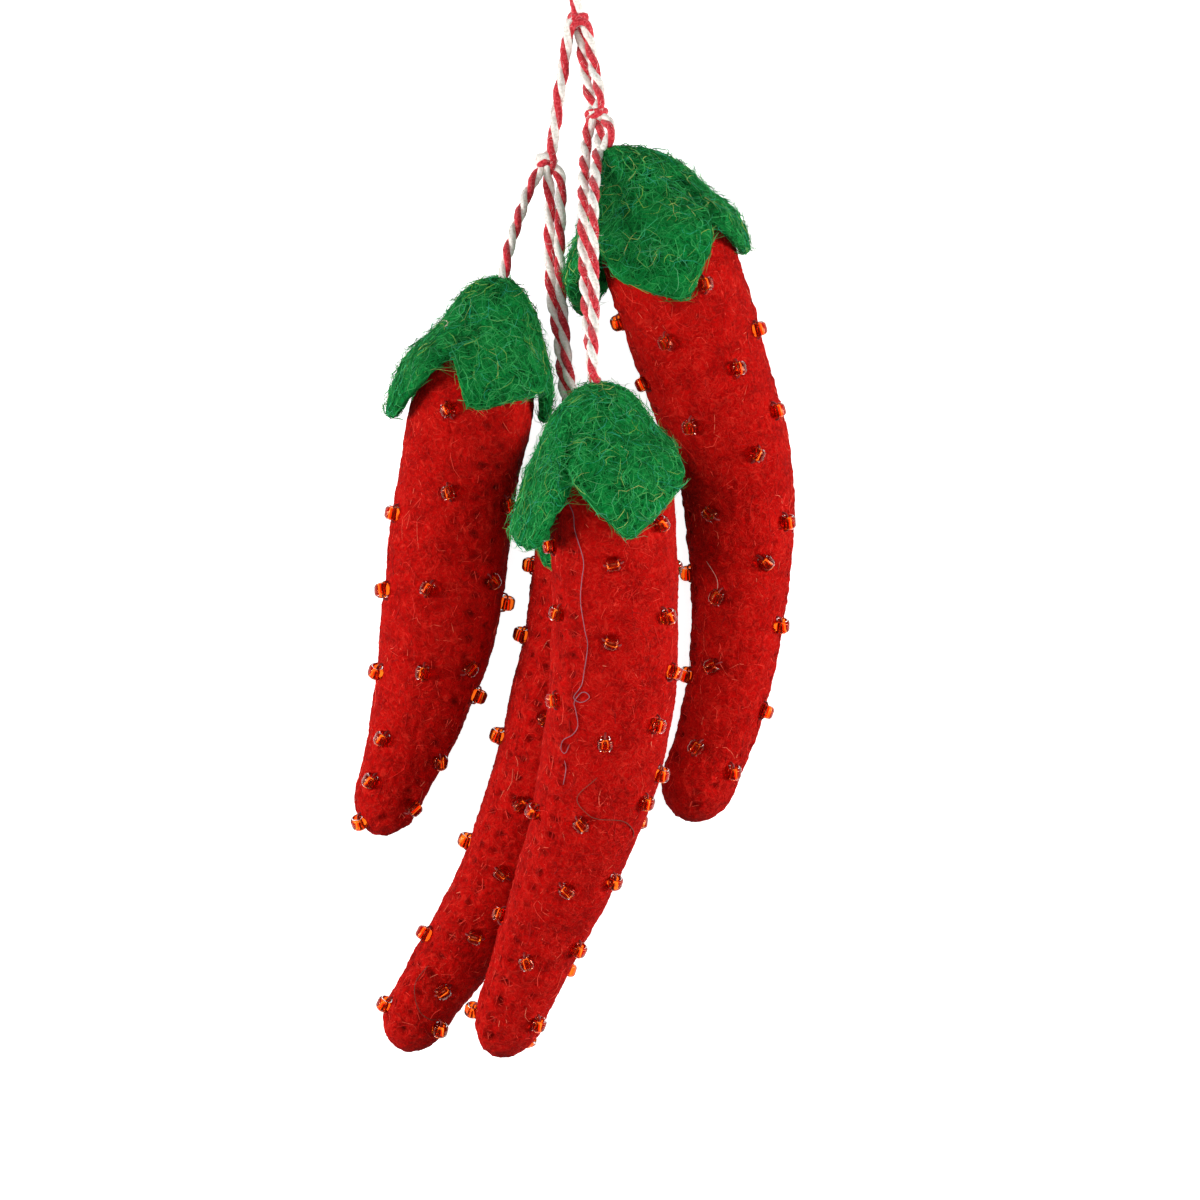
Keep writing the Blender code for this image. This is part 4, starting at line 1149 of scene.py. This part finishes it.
# Loose wool: curled fibres that lie on the felt, with some ends standing off. Density is by square metre,
# bend in radians, curl how far a fibre strays, and sparse how few of the ends stand off by the full lift.
wool = {
    "red": {"Density": 0.78e6, "Length": 6.5 * mm, "Bend": 2.0, "Thickness": 0.15 * mm, "Curl": 2.4 * mm,
            "CurlSize": 2.4 * mm, "Lift": 1.2 * mm, "Sparse": 3.0, "Points": 5, "Seed": 7},
    "green": {"Density": 2.3e6, "Length": 4.6 * mm, "Bend": 1.8, "Thickness": 0.12 * mm, "Curl": 2.6 * mm,
              "CurlSize": 2.2 * mm, "Lift": 1.3 * mm, "Sparse": 3.0, "Points": 5, "Seed": 21},
    "redWhiskers": {"Density": 0.9e6, "Length": 2.3 * mm, "Bend": 1.1, "Thickness": 0.1 * mm,
                    "Curl": 0.9 * mm, "CurlSize": 1.2 * mm, "Lift": 3.4 * mm, "Sparse": 0.8, "Points": 3,
                    "Seed": 33},
    "twine": {"Density": 0.5e6, "Length": 1.8 * mm, "Bend": 0.8, "Thickness": 0.045 * mm, "Curl": 1.0 * mm,
              "CurlSize": 1.2 * mm, "Lift": 0.9 * mm, "Sparse": 3.0, "Points": 5, "Seed": 5},
}
fibreSizes = (0.45, 1.25)    # shortest and longest share of the length
fibreWidths = (0.6, 1.2)     # thinnest and thickest share of the thickness
fibreDepths = (0.0, 0.9)     # how far off the felt a fibre's middle lies, in thicknesses
overTable = 0.08 * mm        # no fibre goes lower


def fibreTree():   # curled lines on the surface, as many as "bare" lets grow, each a thin tapered tube
    tree, given, result = newTree("looseWool", {"Density": "Float", "Length": "Float", "Bend": "Float",
                                                "Thickness": "Float", "Curl": "Float", "CurlSize": "Float",
                                                "Lift": "Float", "Sparse": "Float", "Points": "Int",
                                                "Seed": "Int", "Material": "Material"})

    def drawn(limits, shift, identity=None):   # one random number for each point or fibre
        seed = addNode(tree, "ShaderNodeMath", (given["Seed"], shift), operation="ADD")
        values = {2: limits[0], 3: limits[1], 8: seed}
        if identity is not None:
            values[7] = identity
        return addNode(tree, "FunctionNodeRandomValue", values, data_type="FLOAT").outputs[1]

    bareHere = addNode(tree, "GeometryNodeInputNamedAttribute", {"Name": "bare"}, data_type="FLOAT")
    many = addNode(tree, "ShaderNodeMath", (given["Density"], bareHere), operation="MULTIPLY")
    roots = addNode(tree, "GeometryNodeDistributePointsOnFaces", {"Mesh": given["Geometry"], "Density": many,
                                                                  "Seed": given["Seed"]})
    spin = addNode(tree, "FunctionNodeAxisAngleToRotation", {"Angle": drawn((0.0, math.tau), 1)})
    spun = addNode(tree, "FunctionNodeRotateRotation", (roots.outputs["Rotation"], spin),
                   rotation_space="LOCAL")
    radius = addNode(tree, "ShaderNodeMath", (given["Length"], given["Bend"]), operation="DIVIDE")
    # Wool is crimped, so a fibre starts as an arc.
    arc = addNode(tree, "GeometryNodeCurveArc", {"Resolution": given["Points"], "Radius": radius,
                                                 "Sweep Angle": given["Bend"]}, mode="RADIUS")
    placedLines = addNode(tree, "GeometryNodeInstanceOnPoints", {"Points": roots, "Instance": arc,
                                                                 "Rotation": spun,
                                                                 "Scale": drawn(fibreSizes, 2)})
    real = addNode(tree, "GeometryNodeRealizeInstances", (placedLines,))
    which = addNode(tree, "GeometryNodeCurveOfPoint").outputs[0]
    place = addNode(tree, "GeometryNodeInputPosition")
    along = addNode(tree, "GeometryNodeSplineParameter")
    ownBend = addNode(tree, "ShaderNodeMath", (which, 0.37), operation="MULTIPLY")
    closer = addNode(tree, "ShaderNodeMath", (1.0, given["CurlSize"]), operation="DIVIDE")
    near = addNode(tree, "ShaderNodeVectorMath", {0: place, "Scale": closer}, operation="SCALE")
    stray = addNode(tree, "ShaderNodeTexNoise", {"Vector": near, "W": ownBend, "Scale": 1.0, "Detail": 1.0},
                    noise_dimensions="4D").outputs["Color"]
    stray = addNode(tree, "ShaderNodeVectorMath", (stray, (0.5, 0.5, 0.5)), operation="SUBTRACT")
    stray = addNode(tree, "ShaderNodeVectorMath", {0: stray, "Scale": given["Curl"]}, operation="SCALE")
    curled = addNode(tree, "ShaderNodeVectorMath", (place, stray), operation="ADD")
    onFelt = addNode(tree, "GeometryNodeProximity", {0: given["Geometry"], 2: curled}, target_element="FACES")
    facing = addNode(tree, "GeometryNodeInputNormal")
    outward = addNode(tree, "GeometryNodeSampleNearestSurface", {0: given["Geometry"], "Value": facing,
                                                                 "Sample Position": curled},
                      data_type="FLOAT_VECTOR")
    lying = addNode(tree, "ShaderNodeMath", (given["Thickness"], drawn(fibreDepths, 3, which)),
                    operation="MULTIPLY")
    chance = addNode(tree, "ShaderNodeMath", (drawn((0.0, 1.0), 4, which), given["Sparse"]),
                     operation="POWER")
    toEnd = addNode(tree, "ShaderNodeMath", (along, 2.0), operation="POWER")
    risen = addNode(tree, "ShaderNodeMath", (toEnd, chance), operation="MULTIPLY")
    height = addNode(tree, "ShaderNodeMath", (risen, given["Lift"], lying), operation="MULTIPLY_ADD")
    lifted = addNode(tree, "ShaderNodeVectorMath", {0: outward, "Scale": height}, operation="SCALE")
    resting = addNode(tree, "ShaderNodeVectorMath", (onFelt, lifted), operation="ADD")
    resting = addNode(tree, "ShaderNodeVectorMath", (resting, (-1.0, -1.0, overTable)), operation="MAXIMUM")
    laid = addNode(tree, "GeometryNodeSetPosition", {"Geometry": real, "Position": resting})
    tinted = addNode(tree, "GeometryNodeStoreNamedAttribute", {"Geometry": laid, "Name": "tint",
                                                               "Value": drawn((0.0, 1.0), 5, which)},
                     data_type="FLOAT", domain="POINT")
    halfThick = addNode(tree, "ShaderNodeMath", (given["Thickness"], 0.5), operation="MULTIPLY")
    section = addNode(tree, "GeometryNodeCurvePrimitiveCircle", {0: 3, 4: halfThick})
    ends = addNode(tree, "ShaderNodeMath", (along, 2.0, -1.0), operation="MULTIPLY_ADD")
    ends = addNode(tree, "ShaderNodeMath", (ends,), operation="ABSOLUTE")
    ends = addNode(tree, "ShaderNodeMath", (ends, 3.0), operation="POWER")
    thinned = addNode(tree, "ShaderNodeMath", (ends, 0.8), operation="MULTIPLY")
    taper = addNode(tree, "ShaderNodeMath", (1.0, thinned), operation="SUBTRACT")
    width = addNode(tree, "ShaderNodeMath", (taper, drawn(fibreWidths, 6, which)), operation="MULTIPLY")
    tube = addNode(tree, "GeometryNodeCurveToMesh", {0: tinted, 1: section, "Scale": width,
                                                     "Fill Caps": True})
    smooth = addNode(tree, "GeometryNodeSetShadeSmooth", (tube,))
    woolly = addNode(tree, "GeometryNodeSetMaterial", {"Geometry": smooth, "Material": given["Material"]})
    tree.links.new(woolly.outputs[0], result[0])
    return tree


woolTree = fibreTree()
fuzzOn = {}


def woolOn(base, kind, name, material):
    values = {**wool[kind], "Seed": wool[kind]["Seed"] + len(fuzzOn), "Material": material}
    fuzz = grown(base, woolTree, values, name, material)
    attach(fuzz, "root")
    fuzzOn[name] = fuzz
    print(name, "faces", len(fuzz.data.polygons))


for name in forms:
    woolOn(feltBodies[name], "red", "wool_" + name, redFibreMaterial)
    woolOn(feltBodies[name], "redWhiskers", "whiskers_" + name, whiskerMaterial)
    woolOn(feltCaps[name], "green", "capWool_" + name, greenFibreMaterial)
for name, piece in {**cords, **knotPieces}.items():
    woolOn(piece, "twine", "hairs_" + name, twineHairMaterial)

# Sewing thread: past each end of a bead, and this far into the felt.
thread = {"beadThread": 0.3, "past": 0.55, "into": 1.5, "sides": 6, "endWidth": 0.45, "colour": "#7C0A08"}

# Loose ends, drawn as seen from above: what they lie on, thickness, colour and points.
looseEnds = {
    "mauveThread": ("front", 0.13, "#8A5560", [(-1.4, 16.0), (0.2, 13.0), (0.5, 10.4), (1.7, 6.2), (1.5, 3.6),
                                               (1.3, 0.4), (1.9, -3.7), (2.3, -5.9), (1.8, -9.6),
                                               (1.4, -11.6),
                                               (0.3, -13.3), (1.4, -14.0), (2.6, -13.2), (1.6, -12.5),
                                               (0.4, -13.9), (0.6, -15.1), (0.9, -17.3), (0.15, -18.6),
                                               (-1.2, -19.4), (-1.5, -20.7), (-0.9, -21.3), (-0.3, -20.0)]),
    "mauveEnd": ("front", 0.11, "#96606A", [(-1.0, -22.3), (-0.8, -23.6), (-1.2, -25.8)]),
    "brownHair": ("front", 0.10, "#5A2A14", [(3.7, -24.7), (0.8, -27.6), (2.2, -29.9), (3.9, -30.7),
                                             (7.3, -31.0), (8.8, -32.3), (8.8, -33.4)]),
    "brownHairBack": ("back", 0.10, "#4C2410", [(-20.7, -52.1), (-22.5, -54.5), (-22.6, -56.8),
                                                (-21.9, -58.9), (-20.4, -60.0), (-19.4, -59.9)]),
    "creamTuft": ("leftCap", 0.2, "#E6D9BC", [(-18.9, 40.6), (-18.2, 40.9), (-17.8, 40.3), (-18.3, 39.9)]),
    "paleHairRight": ("right", 0.09, "#C08A7C", [(19.4, 6.2), (21.0, 3.2), (20.4, 0.2)]),
}


def roundTube(points, radius, sides):   # closed at both ends, thinner there
    verts = []
    for index, (point, one, two) in enumerate(carriedFrames(points)):
        narrow = thread["endWidth"] if index in (0, len(points) - 1) else 1.0
        for number in range(sides):
            angle = math.tau * number / sides
            verts.append(point + (math.cos(angle) * one + math.sin(angle) * two) * radius * narrow)
    return verts, ringFaces(len(points), sides) + endFaces(len(points), sides)


def threadPiece(name, runs, material):   # runs are (points, radius)
    verts, faces = [], []
    for points, radius in runs:
        tubeVerts, tubeFaces = roundTube(points, radius, thread["sides"])
        faces += [tuple(i + len(verts) for i in face) for face in tubeFaces]
        verts += [placed(v) for v in tubeVerts]
    piece = pieceOf(name, meshOf(name, verts, faces), [material])
    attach(piece, "root")


beadThread, _, shader = newMaterial("redPolyesterThread", 0.6)
shader.inputs["Base Color"].default_value = linear(thread["colour"])
for name, places in beadsOn.items():
    reach = 0.5 * beads["beadLength"]
    past, into = thread["past"], thread["into"]
    oneSide = [(reach + 0.15, 0.06), (reach + 0.75 * past, 0.55), (reach + past, into)]
    runs = []
    for _, _, place, hole, outward in places:
        stitch = [(-along, down) for along, down in reversed(oneSide)] + [(0.0, 0.0)] + oneSide
        path, _ = smoothPath([place + hole * along - outward * down for along, down in stitch], 0.32)
        runs.append((path, 0.5 * thread["beadThread"]))
    threadPiece("beadThreads_" + name, runs, beadThread)
for name, (on, width, colour, points) in looseEnds.items():
    surface = surfaceOf({**feltBodies, "leftCap": feltCaps["left"]}[on])
    path, _ = smoothPath([(x, y, 0.0) for x, y in points], 0.4)
    laid = []
    for number, point in enumerate(path):
        hit = surface.ray_cast(Vector((point.x, point.y, 80.0)), Vector((0, 0, -1)))[0]
        lift = 0.5 * width + 0.18 + 0.16 * noise.noise(Vector((number * 0.21, width * 50.0, 0.0)))
        laid.append(Vector((point.x, point.y, hit.z + lift)))
    material, _, shader = newMaterial(name + "Fibre", 0.7)
    shader.inputs["Base Color"].default_value = linear(colour)
    threadPiece(name, [(laid, 0.5 * width)], material)
print("threads laid")


# Studio: a white table lit from below, a tall softbox at each side and a wide one overhead.
studio = {
    "floor": 4.0, "floorGlow": 0.9, "world": 0.2,
    "side": {"size": (0.16, 0.9), "far": 0.85, "high": 0.23, "power": 12.0},
    "over": {"size": (1.0, 1.0), "high": 2.4, "power": 15.0},
}


def makeStudio():
    half = 0.5 * studio["floor"]
    verts = [(-half, -half, -0.0003), (half, -half, -0.0003), (half, half, -0.0003), (-half, half, -0.0003)]
    material, tree, shader = newMaterial("whiteTable", 0.9, **{"Emission Strength": studio["floorGlow"]})
    shader.inputs["Base Color"].default_value = (0.85, 0.85, 0.85, 1.0)
    shader.inputs["Emission Color"].default_value = (1.0, 1.0, 1.0, 1.0)
    floor = pieceOf("floor", meshOf("floor", verts, [(0, 1, 2, 3)]), [material])
    floor.visible_diffuse = False   # the hung bunch got next to no light back from what was behind it
    world = bpy.data.worlds.new("studioAir")
    world.use_nodes = True
    world.node_tree.nodes["Background"].inputs["Color"].default_value = (1.0, 1.0, 1.0, 1.0)
    world.node_tree.nodes["Background"].inputs["Strength"].default_value = studio["world"]
    bpy.context.scene.world = world
    side, over = studio["side"], studio["over"]
    lamps = [("leftSoftbox", (-side["far"], 0.0, side["high"]), side["size"], side["power"]),
             ("rightSoftbox", (side["far"], 0.0, side["high"]), side["size"], side["power"]),
             ("overheadSoftbox", (0.0, 0.0, over["high"]), over["size"], over["power"])]
    for name, place, size, power in lamps:
        light = bpy.data.lights.new(name, "AREA")
        light.shape = "RECTANGLE"
        light.size, light.size_y = size
        light.energy = power
        lamp = bpy.data.objects.new(name, light)
        lamp.location = place
        lamp.rotation_euler = (Vector(place)).to_track_quat("Z", "Y").to_euler()
        bpy.context.scene.collection.objects.link(lamp)
    bpy.context.scene.view_settings.view_transform = "Standard"


makeStudio()
